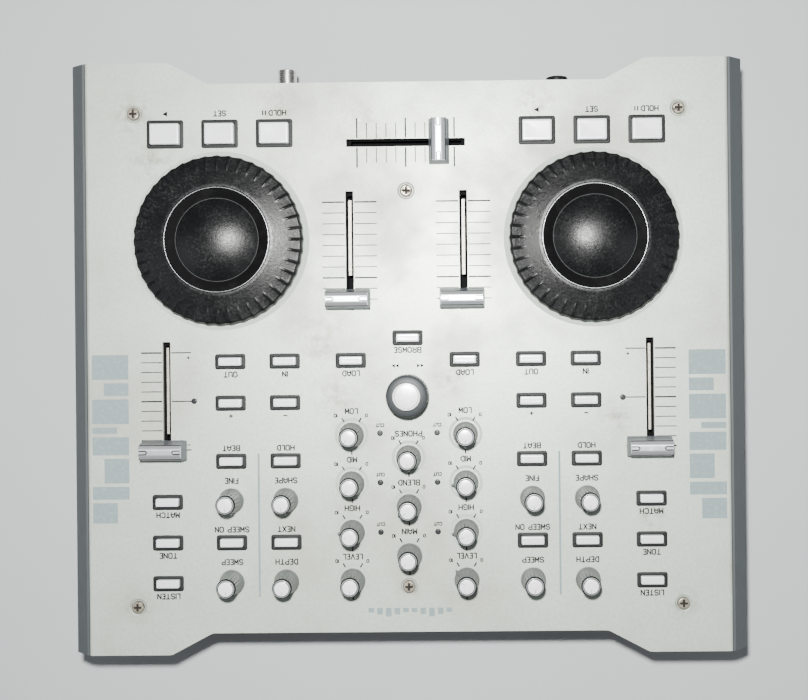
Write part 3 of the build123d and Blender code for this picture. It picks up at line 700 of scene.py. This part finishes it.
class CONTROLLER_OT_panel_print(ControllerOperator, bpy.types.Operator):
    """Print the scales, rings, labels and plain blocks on the top panel"""
    bl_idname = "controller.panel_print"
    bl_label = "Panel Printing"

    def execute(self, context):
        look = settings("finishes")
        dark, pale, rings = [], [], []
        dark += crossfader_scale()
        for side in SIDES:
            for kind, scale in (("line", line_fader_scale), ("pitch", pitch_fader_scale)):
                node = f"{kind}_fader_cap_{side}"
                dark += scale(PANEL_SLOTS[node], middle(node)[1])
        names = {"bass": "LOW", "mid": "MID", "treble": "HIGH", "gain": "LEVEL"}
        scaled = {f"{n}_knob_{side}": text for n, text in names.items() for side in SIDES}
        scaled |= {"phones_volume_knob": "PHONES", "phones_mix_knob": "BLEND", "master_volume_knob": "MAIN"}
        for node, text in scaled.items():
            x, y = PIVOTS[node][:2]
            dark += knob_scale(x, y)
            dark.append(word(text, x, y - 10.9))
            rings.append(ring_print(x, y, 6.5, 7.8))
        plain_knobs = {"parameter": "SHAPE", "fine_pitch": "FINE", "effect": "DEPTH", "filter": "SWEEP"}
        key_words = {"loop": ("IN", "OUT", 6.0), "bend": ("-", "+", 6.0), "tap": ("HOLD", "BEAT", -6.0),
                     "filter": ("NEXT", "SWEEP ON", -6.0)}
        sync_words = ("MATCH", "TONE", "LISTEN")
        for side in SIDES:
            for name, text in plain_knobs.items():
                x, y = PIVOTS[f"{name}_knob_{side}"][:2]
                dark.append(word(text, x, y - 9.0))
            for name, (first, second, away) in key_words.items():
                spots = key_spots(f"{name}_keys_{side}")
                for text, (x, y) in zip((first, second), sorted(spots)):
                    dark.append(word(text, x, y + away))
            for text, (x, y) in zip(sync_words, sorted(key_spots(f"sync_keys_{side}"), key=lambda s: s[1])):
                dark.append(word(text, x, y + 6.0))
            x, y = key_spots(f"load_key_{side}")[0]
            dark.append(word("LOAD", x, y + 6.0))
            for name, text in (("play", None), ("set_cue", "SET"), ("cue", "HOLD")):
                x, y = key_spots(f"{name}_key_{side}")[0]
                if text:
                    dark.append(word(text, x - (1.5 if name == "cue" else 0), y - 9.5))
                if name == "cue":
                    dark += [line(x + shift, y - 10.6, x + shift, y - 8.4, 0.6) for shift in (4.0, 5.3)]
                if name == "play":
                    outline = [(1.3, 0), (-1.0, 1.2), (-1.0, -1.2)]
                    dark.append(moved(triangle(outline), x, y - 9.5))
            sign = -1 if side == "left" else 1
            pale += side_blocks(sign)
            pale.append(line(sign * 69.5, 44.2, sign * 69.5, 110.4, 0.9))
            x, y = PIVOTS[f"jog_wheel_{side}"][:2]
            rings.append(ring_print(x, y, 38.0, 41.4))
            for y in (35.3, 58.1, 81.0):
                dark += [word("CUT", sign * 13.2, y - 3.7, 1.4)]
        dark.append(word("BROWSE", 0.0, key_spots("directory_key")[0][1] + 5.6))
        track_y = PIVOTS["track_knob"][1]
        for way in (-1, 1):
            for shift in (4.2, 6.0):
                outline = [(way * (shift + 1.5), 0), (way * shift, way * 0.9), (way * shift, -way * 0.9)]
                dark.append(moved(triangle(outline), 0, track_y - 13.4))
        pale += [line(x, 116.0, x, 116.0 + tall, 2.6)
                 for x, tall in zip(np.arange(-18, 19, 4.0), (2, 3, 4, 3, 2, 2, 3, 4, 3, 2))]
        inks = {"dark": (dark, "dark_screen_ink", look.ink_dark, 0.1),
                "rings": (rings, "grey_green_screen_ink", look.ink_ring, 0.4),
                "pale": (pale, "pale_screen_ink", look.ink_pale, 0.18)}
        for name, (parts, ink, base, worn) in inks.items():
            make_piece(f"panel_print_{name}", joined(parts), screen_ink(ink, base, worn), "casing",
                       smooth=0)
        return {"FINISHED"}


# ------------------------------------------------------------------ jog wheels
class CONTROLLER_OT_jog_wheels(ControllerOperator, bpy.types.Operator):
    """Build both jog wheels: ribbed rim, bright ring, polished groove and domed middle"""
    bl_idname = "controller.jog_wheels"
    bl_label = "Jog Wheels"

    def execute(self, context):
        shape = settings("jog")
        rim, ring, dome = shape.radius / MM, shape.ring_radius / MM, shape.dome_radius / MM
        rib_height, notch = shape.rib_height / MM, shape.notch_depth / MM
        scallops = shape.scallops
        top, low = PANEL_TOP, PANEL_TOP + 0.7

        def rim_shape(r, z, a):
            """Near the rim the radius drops in a lopsided notch between ribs, and each thin rib stands up on
            the slope with a bell-shaped cross-section, fading out at both of its ends."""
            turn = np.mod(a * scallops / (2 * np.pi), 1.0)  # 0 and 1 at a rib
            off_rib = np.minimum(turn, 1 - turn) * 2 * np.pi / scallops * r
            near = np.clip((r - 33.0) / (rim - 33.0), 0, 1)
            notch_here = notch * np.sin(np.pi * turn ** 1.5) * near ** 3
            upper = z > top + 3
            rib = rib_height * np.exp(-(off_rib / 0.42) ** 2)
            sunk = 0.08 * np.sin(np.pi * turn) * np.clip((r - 31.0) / 5.0, 0, 1)
            lift = np.clip(np.minimum((r - 31.5) / 2.5, (rim - 0.9 - r) / 0.8), 0, 1)
            return r - notch_here, z + (rib - sunk) * lift * upper

        slope_r = np.linspace(rim - 1.1, ring + 1.6, 30)
        slope_t = (rim - 1.1 - slope_r) / (rim - ring - 2.7)
        slope = np.column_stack([slope_r, top + 5.7 + 3.05 * (slope_t + 0.03 * slope_t * (1 - slope_t))])
        profile = np.concatenate([
            [(3.2, 38.7), (7.9, 38.7), (7.9, low + 2.0), (35.6, low + 2.0), (36.0, low)],
            soften([(rim - 1.6, low), (rim - 0.2, low + 0.3), (rim, top + 4.2), (rim - 0.6, top + 5.4)],
                   [0.0, 0.3, 0.5, 0.0]),
            slope,
            [(ring + 0.7, top + 8.78), (ring + 0.3, top + 8.45), (ring + 0.3, top + 6.0), (3.2, top + 5.5)],
        ])
        ring_profile = soften([(ring - 0.1, top + 6.1), (ring + 0.3, top + 6.1), (ring + 0.3, top + 8.8),
                               (ring - 0.1, top + 8.8)], [0, 0, 0.15, 0.15])
        groove_profile = soften([(dome - 0.6, top + 5.9), (ring - 0.2, top + 5.9), (ring - 0.2, top + 8.2),
                                 (dome + 0.6, top + 6.9), (dome - 0.6, top + 6.7)], [0, 0, 0.3, 0.5, 0])
        bead_profile = soften([(dome - 0.12, top + 6.5), (dome + 0.16, top + 6.5), (dome + 0.16, top + 7.34),
                               (dome - 0.12, top + 7.34)], [0, 0, 0.08, 0.08])
        rise = shape.dome_rise / MM
        sphere = (dome ** 2 + rise ** 2) / (2 * rise)
        inner = np.linspace(dome - 0.12, 0.3, 28)
        dome_profile = np.concatenate([
            [(dome - 1.0, top + 6.0), (dome - 0.12, top + 6.0)],
            np.column_stack([inner, top + 7.25 + rise - sphere + np.sqrt(sphere ** 2 - inner ** 2)]),
        ])
        disc_profile = [(6.2, 37.0), (25.0, 37.0), (25.0, 38.0), (6.2, 38.0)]
        black, deep = worn_black(), matt_black()
        bright = plated("bright_turned_aluminium", linear("#7E8083"), 0.34)  # a thin bright line of light
        film = plain("slotted_grey_film", linear("#2B2C2E"), 0.4)  # smooth grey, inside
        dome_edge_highlight_grey = plain("paler_black_abs_painted_edge_highlight", linear("#2A2C2D"), 0.7)  # a paler ring round the dome's edge, a painted highlight of the thin light line along it
        for node in JOGS:
            x, y = PIVOTS[node][:2]
            parts = {
                "rim": (lathe(profile, 24 * scallops, closed=True, shape=rim_shape), black),
                "ring": (lathe(ring_profile, 192, closed=True), bright),
                "groove": (lathe(groove_profile, 128, closed=True), deep),
                "dome": (lathe(dome_profile, 128), black),
                "bead": (lathe(bead_profile, 128, closed=True), dome_edge_highlight_grey),
                "gate_disc": (lathe(disc_profile, 96, closed=True), film),
            }
            for name, (part, material) in parts.items():
                covers = (node,) if name == "rim" else ()
                make_piece(f"{node}_{name}", moved(part, x, y), material, node, covers, 30.0)
        return {"FINISHED"}


# ------------------------------------------------------------------ faders
class CONTROLLER_OT_fader_caps(ControllerOperator, bpy.types.Operator):
    """Build the five fader caps with their levers and the bright shield strips under the slots"""
    bl_idname = "controller.fader_caps"
    bl_label = "Fader Caps"

    def execute(self, context):
        look = settings("finishes")
        # a bright band of light along the top, on flanks whose darker grey is painted shade
        silver = silver_lacquer("silver_lacquered_abs_ridge", look.fader_ridge, 0.3, 0.8)
        grey = silver_lacquer("grey_lacquered_abs_flanks_painted_shade", look.fader, 0.36, 0.5)
        groove = screen_ink("dark_engraved_line_and_step_shade", linear("#101216"), 0.0)  # flat dark: the shade in the engraved marks, and painted shade along the step under the ridge
        steel = plain("bare_spring_steel", linear("#B9B4A8"), 0.45, 0.5, 1.6, 0.35)  # bright, stained
        low = PANEL_TOP + 1.2
        top = low + 10.0
        flank = rectangles([(9.9, 4.3, 0.3, low), (10.3, 4.65, 0.5, low + 0.35),
                            (10.32, 4.65, 0.5, low + 1.4), (10.2, 4.35, 0.5, low + 1.9),
                            (9.75, 3.35, 0.4, top - 1.6), (9.7, 3.2, 0.35, top - 1.45)])
        t = np.linspace(-1, 1, 15)
        edge_y = 3.02 * t
        edge_z = top - 0.05 * t ** 2 - 1.1 * (np.maximum(np.abs(t) - 0.45, 0) / 0.55) ** 1.3 - 0.02
        arch = [np.column_stack([np.full(15, x), edge_y * wide, np.maximum(edge_z - drop, top - 1.5)])
                for x, wide, drop in ((-9.6, 0.97, 0.25), (-9.45, 1.0, 0.0), (9.45, 1.0, 0.0),
                                      (9.6, 0.97, 0.25))]
        floor_line = np.array([(0, 3.02, top - 1.6), (0, -3.02, top - 1.6)])
        ridge = skin(np.stack([np.concatenate([a, floor_line + (a[0, 0], 0, 0)]) for a in arch]))
        bow = np.linspace(-np.pi / 2, np.pi / 2, 11)
        bend = np.column_stack([6.6 - np.cos(bow) * 0.8, np.sin(bow) * 0.8])
        path = np.concatenate([[(9.4, -0.8)], bend, [(9.4, 0.8)]])
        mark = ribbon(path, 0.52, top - 0.14, top + 0.02)
        # dark strips along the step between ridge and flanks: painted shade
        seam_and_shade_lines = [ribbon([(-9.7, y), (9.7, y)], 0.44, top - 1.6, top - 1.3) for y in (-3.14, 3.14)]
        marks = joined([mark, moved(mark, turn=180.0)] + seam_and_shade_lines)
        lever = joined([rectangles([(1.95, 0.58, 0.1, 36.6), (1.95, 0.58, 0.1, low + 6.4)]),
                        rectangles([(1.95, 2.28, 0.2, 33.3), (1.95, 2.28, 0.2, 36.7)])])
        strips = {kind: rectangles([(half, wide, 0.1, PANEL_UNDER - drop) for drop in (0.7, 0.3)])
                  for kind, half, wide in (("line", 17.4, 0.68), ("pitch", 20.0, 0.55))}
        for node in CAPS:
            x, y = middle(node)[:2]
            if node == "crossfader_cap":
                turn, lever_x = 90.0, x
            else:
                turn, lever_x = 0.0, PANEL_SLOTS[node]
            for name, part, finish, covers, smooth in (("flanks", flank, grey, (node,), 25.0),
                                                       ("ridge", ridge, silver, (), 40.0),
                                                       ("marks", marks, groove, (), 0)):
                make_piece(f"{node}_{name}", moved(part, x, y, 0, turn), finish, node,
                           covers, smooth)
            parts = [moved(lever, lever_x, y, 0, 90.0 - turn)]
            if not turn:
                kind = node.split("_")[0]
                parts.append(moved(strips[kind], lever_x, y - {"line": 28.6, "pitch": 27.3}[kind], 0, 90.0))
            make_piece(f"{node}_lever", joined(parts), steel, node, smooth=30.0)
        return {"FINISHED"}


# ------------------------------------------------------------------ knobs
class CONTROLLER_OT_knobs(ControllerOperator, bpy.types.Operator):
    """Build the nineteen small knobs: fluted grey bodies with pointers, on their spindles, and bright caps"""
    bl_idname = "controller.knobs"
    bl_label = "Small Knobs"

    def execute(self, context):
        shape, look = settings("knob"), settings("finishes")
        flutes, depth, cap = shape.flutes, shape.flute_depth / MM, shape.cap_radius / MM
        low, top = PANEL_TOP + 0.8, PANEL_TOP + 16.0

        def grip(r, z, a):
            """The radius drops in each flute of the grip, from the smooth skirt up to the rim, and one narrow
            pointer stands out towards the rear at the foot."""
            outside = (r > 4.05) & (z < top - 1.4)
            fade = np.clip((z - low - 5.5) / 4.0, 0, 1)
            flute = depth * (1 - np.abs(np.sin(a * flutes / 2)) ** 0.7) * fade
            off = np.abs(np.angle(np.exp(1j * (a - np.pi / 2))))
            spike = 1.2 * np.clip(1 - off / 0.15, 0, 1) * np.clip((low + 5.0 - z) / 1.5, 0, 1)
            return np.where(outside, r - flute + spike, r), z

        height = top - low
        skirt = np.array([(5.78, 0.03), (5.7, 0.09), (5.45, 0.15), (5.2, 0.22), (5.0, 0.32), (4.86, 0.45),
                          (4.7, 0.6), (4.58, 0.72), (4.46, 0.84), (4.4, 0.895)]) * (1, height) + (0, low)
        profile = np.concatenate([
            [(2.95, 33.4), (2.95, low), (5.6, low)], skirt,
            soften([(4.36, top - 1.45), (3.98, top - 1.25), (3.92, top - 0.2), (3.75, top), (cap + 0.2, top),
                    (cap + 0.2, top - 0.45)], [0, 0.15, 0.12, 0.08, 0.06, 0]),
        ])
        body = lathe(profile, 196, shape=grip)
        disc = lathe(soften([(cap + 0.02, top - 0.9), (cap + 0.02, top - 0.12), (0.6, top - 0.02)],
                            [0, 0.2, 0]), 64)
        # the thin ring lies in the gap between disc and rim; the wider ring under the rim's step is a dark sheet
        # of painted shade
        seam_and_shade_lines = joined([disc_ring(cap - 0.1, cap + 0.22, top - 0.4, top - 0.2),
                        disc_ring(3.9, 4.42, top - 1.6, top - 1.1)])
        rim = lathe(soften([(cap + 0.22, top - 0.6), (3.95, top - 0.6), (3.95, top), (cap + 0.22, top)],
                           [0, 0, 0.2, 0.15]), 64, closed=True)
        mark = ribbon([(0, 1.2), (0, 3.0)], 0.28, top - 0.15, top - 0.03)
        grey = spark_eroded("moulded_grey_knob_abs", look.knob, 0.42, 0.5)
        bright = silver_lacquer("silver_white_lacquered_disc", look.knob_cap, 0.25, 0.15)
        rim_grey = silver_lacquer("silver_grey_lacquered_rim", linear("#9EA2A4"), 0.3, 0.4)
        line_ink = plain("engraved_knob_line", linear("#8A8B8E"), 0.6)  # a faint grey stroke on the disc
        gap_and_shade_dark = screen_ink("dark_gap_and_painted_step_shade", linear("#121314"), 0.0)  # dark in the gap round the disc, and painted shade in a ring under the rim's step
        for node in SMALL_KNOBS:
            x, y = PIVOTS[node][:2]
            turn = POINTER_TURNS.get(node, 0.0)
            for name, part, finish, part_turn, smooth in (
                    ("grip", body, grey, turn, 40.0), ("disc", disc, bright, turn, 40.0),
                    ("rim", rim, rim_grey, turn, 40.0), ("seam_and_shade_lines", seam_and_shade_lines, gap_and_shade_dark, 0.0, 30.0),
                    ("line", mark, line_ink, turn, 0)):
                make_piece(f"{node}_{name}", moved(part, x, y, 0, part_turn), finish, node,
                           (node,) if name == "grip" else (), smooth)
        return {"FINISHED"}


class CONTROLLER_OT_track_knob(ControllerOperator, bpy.types.Operator):
    """Build the larger track encoder knob: knurled grey ring and plain bright cap"""
    bl_idname = "controller.track_knob"
    bl_label = "Track Knob"

    def execute(self, context):
        look = settings("finishes")
        low, top = PANEL_TOP + 0.8, PANEL_TOP + 16.0

        def knurl(r, z, a):
            """Forty-eight straight V-shaped teeth on the outside wall."""
            outside = (r > 9.0) & (z < top - 4.2)
            return np.where(outside, r - 0.35 * np.abs(np.mod(a * 48 / (2 * np.pi), 1.0) * 2 - 1), r), z

        ring = np.concatenate([
            [(2.95, 33.4), (2.95, low), (9.4, low), (9.7, low + 0.3), (9.7, top - 4.6)],
            soften([(9.5, top - 4.2), (9.0, top - 3.2), (6.35, top - 2.6), (6.35, top - 3.6)],
                   [0, 0.6, 0.3, 0]),
        ])
        cap = soften([(6.25, top - 4.0), (6.25, top - 0.1), (5.55, top - 0.02), (5.42, top - 0.35),
                      (5.3, top - 0.02), (0.6, top)], [0, 0.5, 0.05, 0.05, 0.05, 0])
        # a dark ring laid in the cap's V groove: painted shadow
        groove_shadow_ring = disc_ring(5.26, 5.56, top - 0.5, top - 0.1, 96)
        x, y = PIVOTS["track_knob"][:2]
        parts = {
            "ring": (lathe(ring, 384, shape=knurl), ("track_knob",), 30.0,
                     spark_eroded("moulded_grey_knurled_abs", linear("#35383A"), 0.45, 0.5, sheen=0.3)),
            "cap": (lathe(cap, 96), (), 40.0,
                    silver_lacquer("silver_lacquered_track_cap", look.knob_cap, 0.25, 0.2)),
            "groove": (groove_shadow_ring, (), 30.0, plain("dark_groove_shadow_line", linear("#3A3C3E"), 0.6)),
        }
        for name, (part, covers, smooth, finish) in parts.items():
            make_piece(f"track_knob_{name}", moved(part, x, y), finish, "track_knob", covers,
                       smooth)
        return {"FINISHED"}


# ------------------------------------------------------------------ keys
SMALL_CAP, LARGE_CAP = (10.8, 4.2), (13.8, 10.0)
FLANGE = 1.8


def key_spots(node):
    """Where the caps of one key or key strip stand, read from the box of its flanges."""
    wide, deep = LARGE_CAP if node in LARGE_KEYS else SMALL_CAP
    low, high = low_corner(node), high_corner(node)
    first = low[:2] + np.array([wide + FLANGE, deep + FLANGE]) / 2
    last = high[:2] - np.array([wide + FLANGE, deep + FLANGE]) / 2
    span = last - first
    count = 1 if max(span) < 1 else (2 if span[0] > span[1] else 3)
    share = np.linspace(0, 1, count) if count > 1 else np.array([0.5])
    return [tuple(first + span * t) for t in share]


def key_cap(size, rise):
    """A cap from its flange up to a softly rounded top, and its stem below."""
    wide, deep = size[0] / 2 - 0.2, size[1] / 2 - 0.25
    flange = PANEL_UNDER - 2.8
    top = PANEL_TOP + rise
    cap = rectangles([(wide - inset, deep - inset, corner, z) for inset, corner, z in (
        (0, 0.5, flange + 0.5), (0, 0.5, top - 0.45), (0.1, 0.5, top - 0.2), (0.25, 0.45, top - 0.06),
        (0.5, 0.4, top), (1.2, 0.3, top - 0.04))])
    base = rectangles([(wide + 1.1, deep + 1.15, 0.3, z) for z in (flange, flange + 1.0)])
    stem = lathe([(1.6, 37.05 if size == SMALL_CAP else 37.25), (1.6, flange + 0.2)], 24)
    return joined([cap, base, stem])


class CONTROLLER_OT_keys(ControllerOperator, bpy.types.Operator):
    """Build the thirty-one push keys, with the bars that join the strips"""
    bl_idname = "controller.keys"
    bl_label = "Push Keys"

    def execute(self, context):
        lacquer = silver_lacquer("silver_white_lacquered_abs", settings("finishes").key, 0.28, 0.2)
        for node in SMALL_KEYS + LARGE_KEYS:
            large = node in LARGE_KEYS
            cap = key_cap(LARGE_CAP, 2.6) if large else key_cap(SMALL_CAP, 2.2)
            spots = key_spots(node)
            parts = [moved(cap, x, y) for x, y in spots]
            if len(spots) > 1:
                (x0, y0), (x1, y1) = spots[0], spots[-1]
                bar = rectangles([((x1 - x0) / 2 + 1.5, (y1 - y0) / 2 + 1.5, 0.3, PANEL_UNDER - drop)
                                  for drop in (2.75, 2.0)])
                parts.append(moved(bar, (x0 + x1) / 2, (y0 + y1) / 2))
            make_piece(f"{node}_caps", joined(parts), lacquer, node, (node,), 40.0)
        return {"FINISHED"}


class CONTROLLER_OT_key_frames(ControllerOperator, bpy.types.Operator):
    """Build the dark frames round the keys, each a closed ring with a rounded lip"""
    bl_idname = "controller.key_frames"
    bl_label = "Key Frames"

    def execute(self, context):
        frames = []
        for node in SMALL_KEYS + LARGE_KEYS:
            wide, deep = LARGE_CAP if node in LARGE_KEYS else SMALL_CAP
            lip = (17.0, 13.1) if node in LARGE_KEYS else (14.1, 7.05)
            mouth_x, mouth_y = wide / 2 + 0.02, deep / 2 - 0.02
            skirt_x, skirt_y = wide / 2 + 1.05, deep / 2 + 1.05
            lip_x, lip_y = lip[0] / 2, lip[1] / 2
            under, top = PANEL_UNDER - 1.5, PANEL_TOP + 0.8
            rows = [(mouth_x, mouth_y, 0.45, under), (skirt_x, skirt_y, 0.6, under),
                    (skirt_x, skirt_y, 0.6, PANEL_TOP + 0.02), (lip_x, lip_y, 1.0, PANEL_TOP + 0.02),
                    (lip_x, lip_y, 1.0, top - 0.3),
                    (lip_x - 0.08, lip_y - 0.08, 0.95, top - 0.1), (lip_x - 0.3, lip_y - 0.3, 0.85, top),
                    (mouth_x + 0.25, mouth_y + 0.25, 0.55, top), (mouth_x, mouth_y, 0.45, top - 0.25)]
            ring = rectangles(rows, closed=True)
            frames += [moved(ring, x, y) for x, y in key_spots(node)]
        dark = spark_eroded("moulded_dark_grey_abs", settings("finishes").bezel, 0.55, 0.5, sheen=0.25)
        make_piece("key_frames", joined(frames), dark, "casing", ("key_bezels",), 40.0)
        return {"FINISHED"}


# ------------------------------------------------------------------ sockets
class CONTROLLER_OT_sockets(ControllerOperator, bpy.types.Operator):
    """Build the front jack sockets, the rear phono sockets and the rear USB socket"""
    bl_idname = "controller.sockets"
    bl_label = "Sockets"

    def execute(self, context):
        mounts = {m["name"]: m for m in frame["record"]["mounts"]}
        nickel = plated("nickel_plated_brass", linear("#E6E5E0"), 0.24)  # the brightest spot at the front edge
        black = plain("moulded_black_nylon_socket", linear("#141516"), 0.38)  # a soft gloss on the threads
        dark = plain("moulded_dark_grey_nylon", linear("#26282A"), 0.45)  # a shade paler than its neighbour
        wall = 125.9  # outer face of the front wall, from the middle
        made = {"phones_socket": (nickel, 4.6, False), "small_phones_socket": (dark, 4.25, False),
                "microphone_socket": (black, 5.2, True)}
        for index, (name, (material, nose, threaded)) in enumerate(made.items()):
            mount = mounts[name]
            x, y, z = np.array(mount["pos_m"]) / MM
            half = mount["dims"]["length_mm"] / 2
            bore = mount["dims"]["r_mm"]
            tip, depth = -(y - half), -(y + half)
            ridges = np.arange(wall + 0.6, tip - 0.8, 0.25)
            wave = nose - 0.35 * (np.arange(len(ridges)) % 4 >= 2) if threaded else np.full(len(ridges), nose)
            outer = np.column_stack([wave, ridges])
            profile = np.concatenate([[(bore, depth), (nose, depth)], outer, [
                (nose, tip - 0.5), (nose - 0.5, tip), (bore + 0.3, tip), (bore, tip - 0.4)]])
            barrel = tipped(lathe(profile, 96, closed=True), x, z)
            make_piece(f"{name}_barrel", barrel, material, "casing",
                       ("sockets",) if index == 0 else (), 35.0)
            rear = moved(rectangles([(7.4, 1.4, 0.4, z - 6.9), (7.4, 1.4, 0.4, z + 6.9)]), x, -(depth - 1.6))
            make_piece(f"{name}_housing", rear, black, "casing", smooth=35.0)
        gold = plated("gold_flashed_brass", linear("#C9A75A"), 0.2)  # warm sparks in the dark pocket
        for name in ("phono_socket_right", "phono_socket_left"):
            mount = mounts[name]
            x, y, z = np.array(mount["pos_m"]) / MM
            half, radius = mount["dims"]["length_mm"] / 2, mount["dims"]["r_mm"]
            profile = [(1.6, -half + 1.0), (0.2, -half + 1.0), (0.2, -half), (radius, -half),
                       (radius, half - 0.4), (radius - 0.4, half), (1.9, half), (1.6, half - 0.3)]
            make_piece(name + "_barrel", facing_rear(lathe(profile, 64, closed=True), x, y, z), gold, "casing",
                       smooth=35.0)
        x, y, z = np.array(mounts["usb_socket"]["pos_m"]) / MM
        rows = [(6.0, 5.5, 0.4, -16.5), (6.0, 5.5, 0.4, 0.0), (4.3, 3.95, 0.3, 0.0), (4.3, 3.95, 0.3, -9.0)]
        tongue = [(2.8, 1.6, 0.2, -9.1), (2.8, 1.6, 0.2, -4.6)]
        tinned = plain("folded_tinned_steel", linear("#B4B4B0"), 0.32, 1.0)  # a dull bright frame
        white = plain("moulded_white_nylon", linear("#D8D8D4"), 0.5)  # a pale tongue in a dark mouth
        for name, outline, finish in (("shell", rows, tinned), ("tongue", tongue, white)):
            make_piece(f"usb_socket_{name}", facing_rear(rectangles(outline), x, y, z), finish, "casing",
                       smooth=30.0)
        return {"FINISHED"}


# ------------------------------------------------------------------ stage
def area_light(name, place, target, size, power, tint):
    """A round light of a size in metres and a power in watts, turned so that it shines at the target."""
    data = bpy.data.lights.new(name, "AREA")
    data.shape, data.size, data.energy, data.color = "DISK", size, power, tint
    lamp = bpy.data.objects.new(name, data)
    bpy.context.scene.collection.objects.link(lamp)
    aim = (Vector(target) - Vector(place)).to_track_quat("-Z", "Y").to_matrix().to_4x4()
    lamp.matrix_world = Matrix.Translation(place) @ aim


class CONTROLLER_OT_stage(ControllerOperator, bpy.types.Operator):
    """Lay the pale floor, hang the soft lights and set the camera over the panel"""
    bl_idname = "controller.stage"
    bl_label = "Stage"

    def execute(self, context):
        shape = settings("stage")
        floor_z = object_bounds()[0][2] - 0.0002
        span = np.linspace(-8.0, 8.0, 26)
        gx, gy = np.meshgrid(span, span)
        points = np.stack([gx, gy, np.full_like(gx, floor_z)], -1).reshape(-1, 3)
        i = np.arange(25)[:, None] * 26 + np.arange(25)[None, :]
        faces = np.stack([i, i + 1, i + 27, i + 26], -1).reshape(-1, 4).tolist()
        mesh = bpy.data.meshes.new("floor")
        mesh.from_pydata(points, [], faces)
        # an even pale board, so that only the shadow draws on it
        mesh.materials.append(plain("pale_matt_board", shape.floor, 0.8, 0.0, 60.0, 0.97))
        floor = bpy.data.objects.new("floor", mesh)
        context.scene.collection.objects.link(floor)
        floor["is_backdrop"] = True

        camera = bpy.data.cameras.new("camera")
        holder = bpy.data.objects.new("camera", camera)
        context.scene.collection.objects.link(holder)
        camera.sensor_width = 36.0
        camera.lens = shape.lens
        camera.shift_x, camera.shift_y = shape.shift
        tilt_x, tilt_y, roll = shape.camera_tilt
        look_down = (Matrix.Rotation(math.pi + roll, 4, "Z") @ Matrix.Rotation(tilt_y, 4, "Y")
                     @ Matrix.Rotation(tilt_x, 4, "X"))
        holder.matrix_world = Matrix.Translation(shape.camera_place) @ look_down
        context.scene.camera = holder

        world = bpy.data.worlds.new("soft_room")
        world.use_nodes = True
        background = world.node_tree.nodes["Background"]
        background.inputs["Color"].default_value = linear("#E8ECF0")
        background.inputs["Strength"].default_value = 0.13
        context.scene.world = world
        area_light("key_light", (-0.006, -0.092, 0.60), (0, 0, 0.04), 0.036, 10.2, (1.0, 0.995, 0.975))
        for side, x in zip(SIDES, (-0.9, 0.9)):
            area_light(f"side_light_{side}", (x, 0.2, 0.55), (0, 0, 0.04), 0.8, 1.5, (0.94, 0.97, 1.0))
        return {"FINISHED"}


# ------------------------------------------------------------------ panel and registration
STEPS = (CONTROLLER_OT_casing, CONTROLLER_OT_panel_print, CONTROLLER_OT_jog_wheels, CONTROLLER_OT_fader_caps,
         CONTROLLER_OT_knobs, CONTROLLER_OT_track_knob, CONTROLLER_OT_keys, CONTROLLER_OT_key_frames,
         CONTROLLER_OT_sockets, CONTROLLER_OT_stage)


class CONTROLLER_PT_steps(bpy.types.Panel):
    """Lists the settings and the building steps"""
    bl_idname = "CONTROLLER_PT_steps"
    bl_label = "DJ Controller"
    bl_space_type = "VIEW_3D"
    bl_region_type = "UI"
    bl_category = "Controller"

    def draw(self, context):
        for name in GROUPS:
            group = getattr(context.scene, name)
            box = self.layout.box()
            for key in group.__annotations__:
                box.prop(group, key)
        for step in STEPS:
            self.layout.operator(step.bl_idname)


def register():
    """Add the settings, the steps and the sidebar panel to Blender."""
    for group in GROUPS.values():
        bpy.utils.register_class(group)
    for name, group in GROUPS.items():
        setattr(bpy.types.Scene, name, bpy.props.PointerProperty(type=group))
    for step in STEPS + (CONTROLLER_PT_steps,):
        bpy.utils.register_class(step)


def unregister():
    """Take them out again, in the opposite order."""
    for step in reversed(STEPS + (CONTROLLER_PT_steps,)):
        bpy.utils.unregister_class(step)
    for name in GROUPS:
        delattr(bpy.types.Scene, name)
    for group in reversed(list(GROUPS.values())):
        bpy.utils.unregister_class(group)


def main():
    """Build every step in order."""
    register()
    for step in STEPS:
        group, name = step.bl_idname.split(".")
        getattr(getattr(bpy.ops, group), name)()


if __name__ == "__main__":
    main()
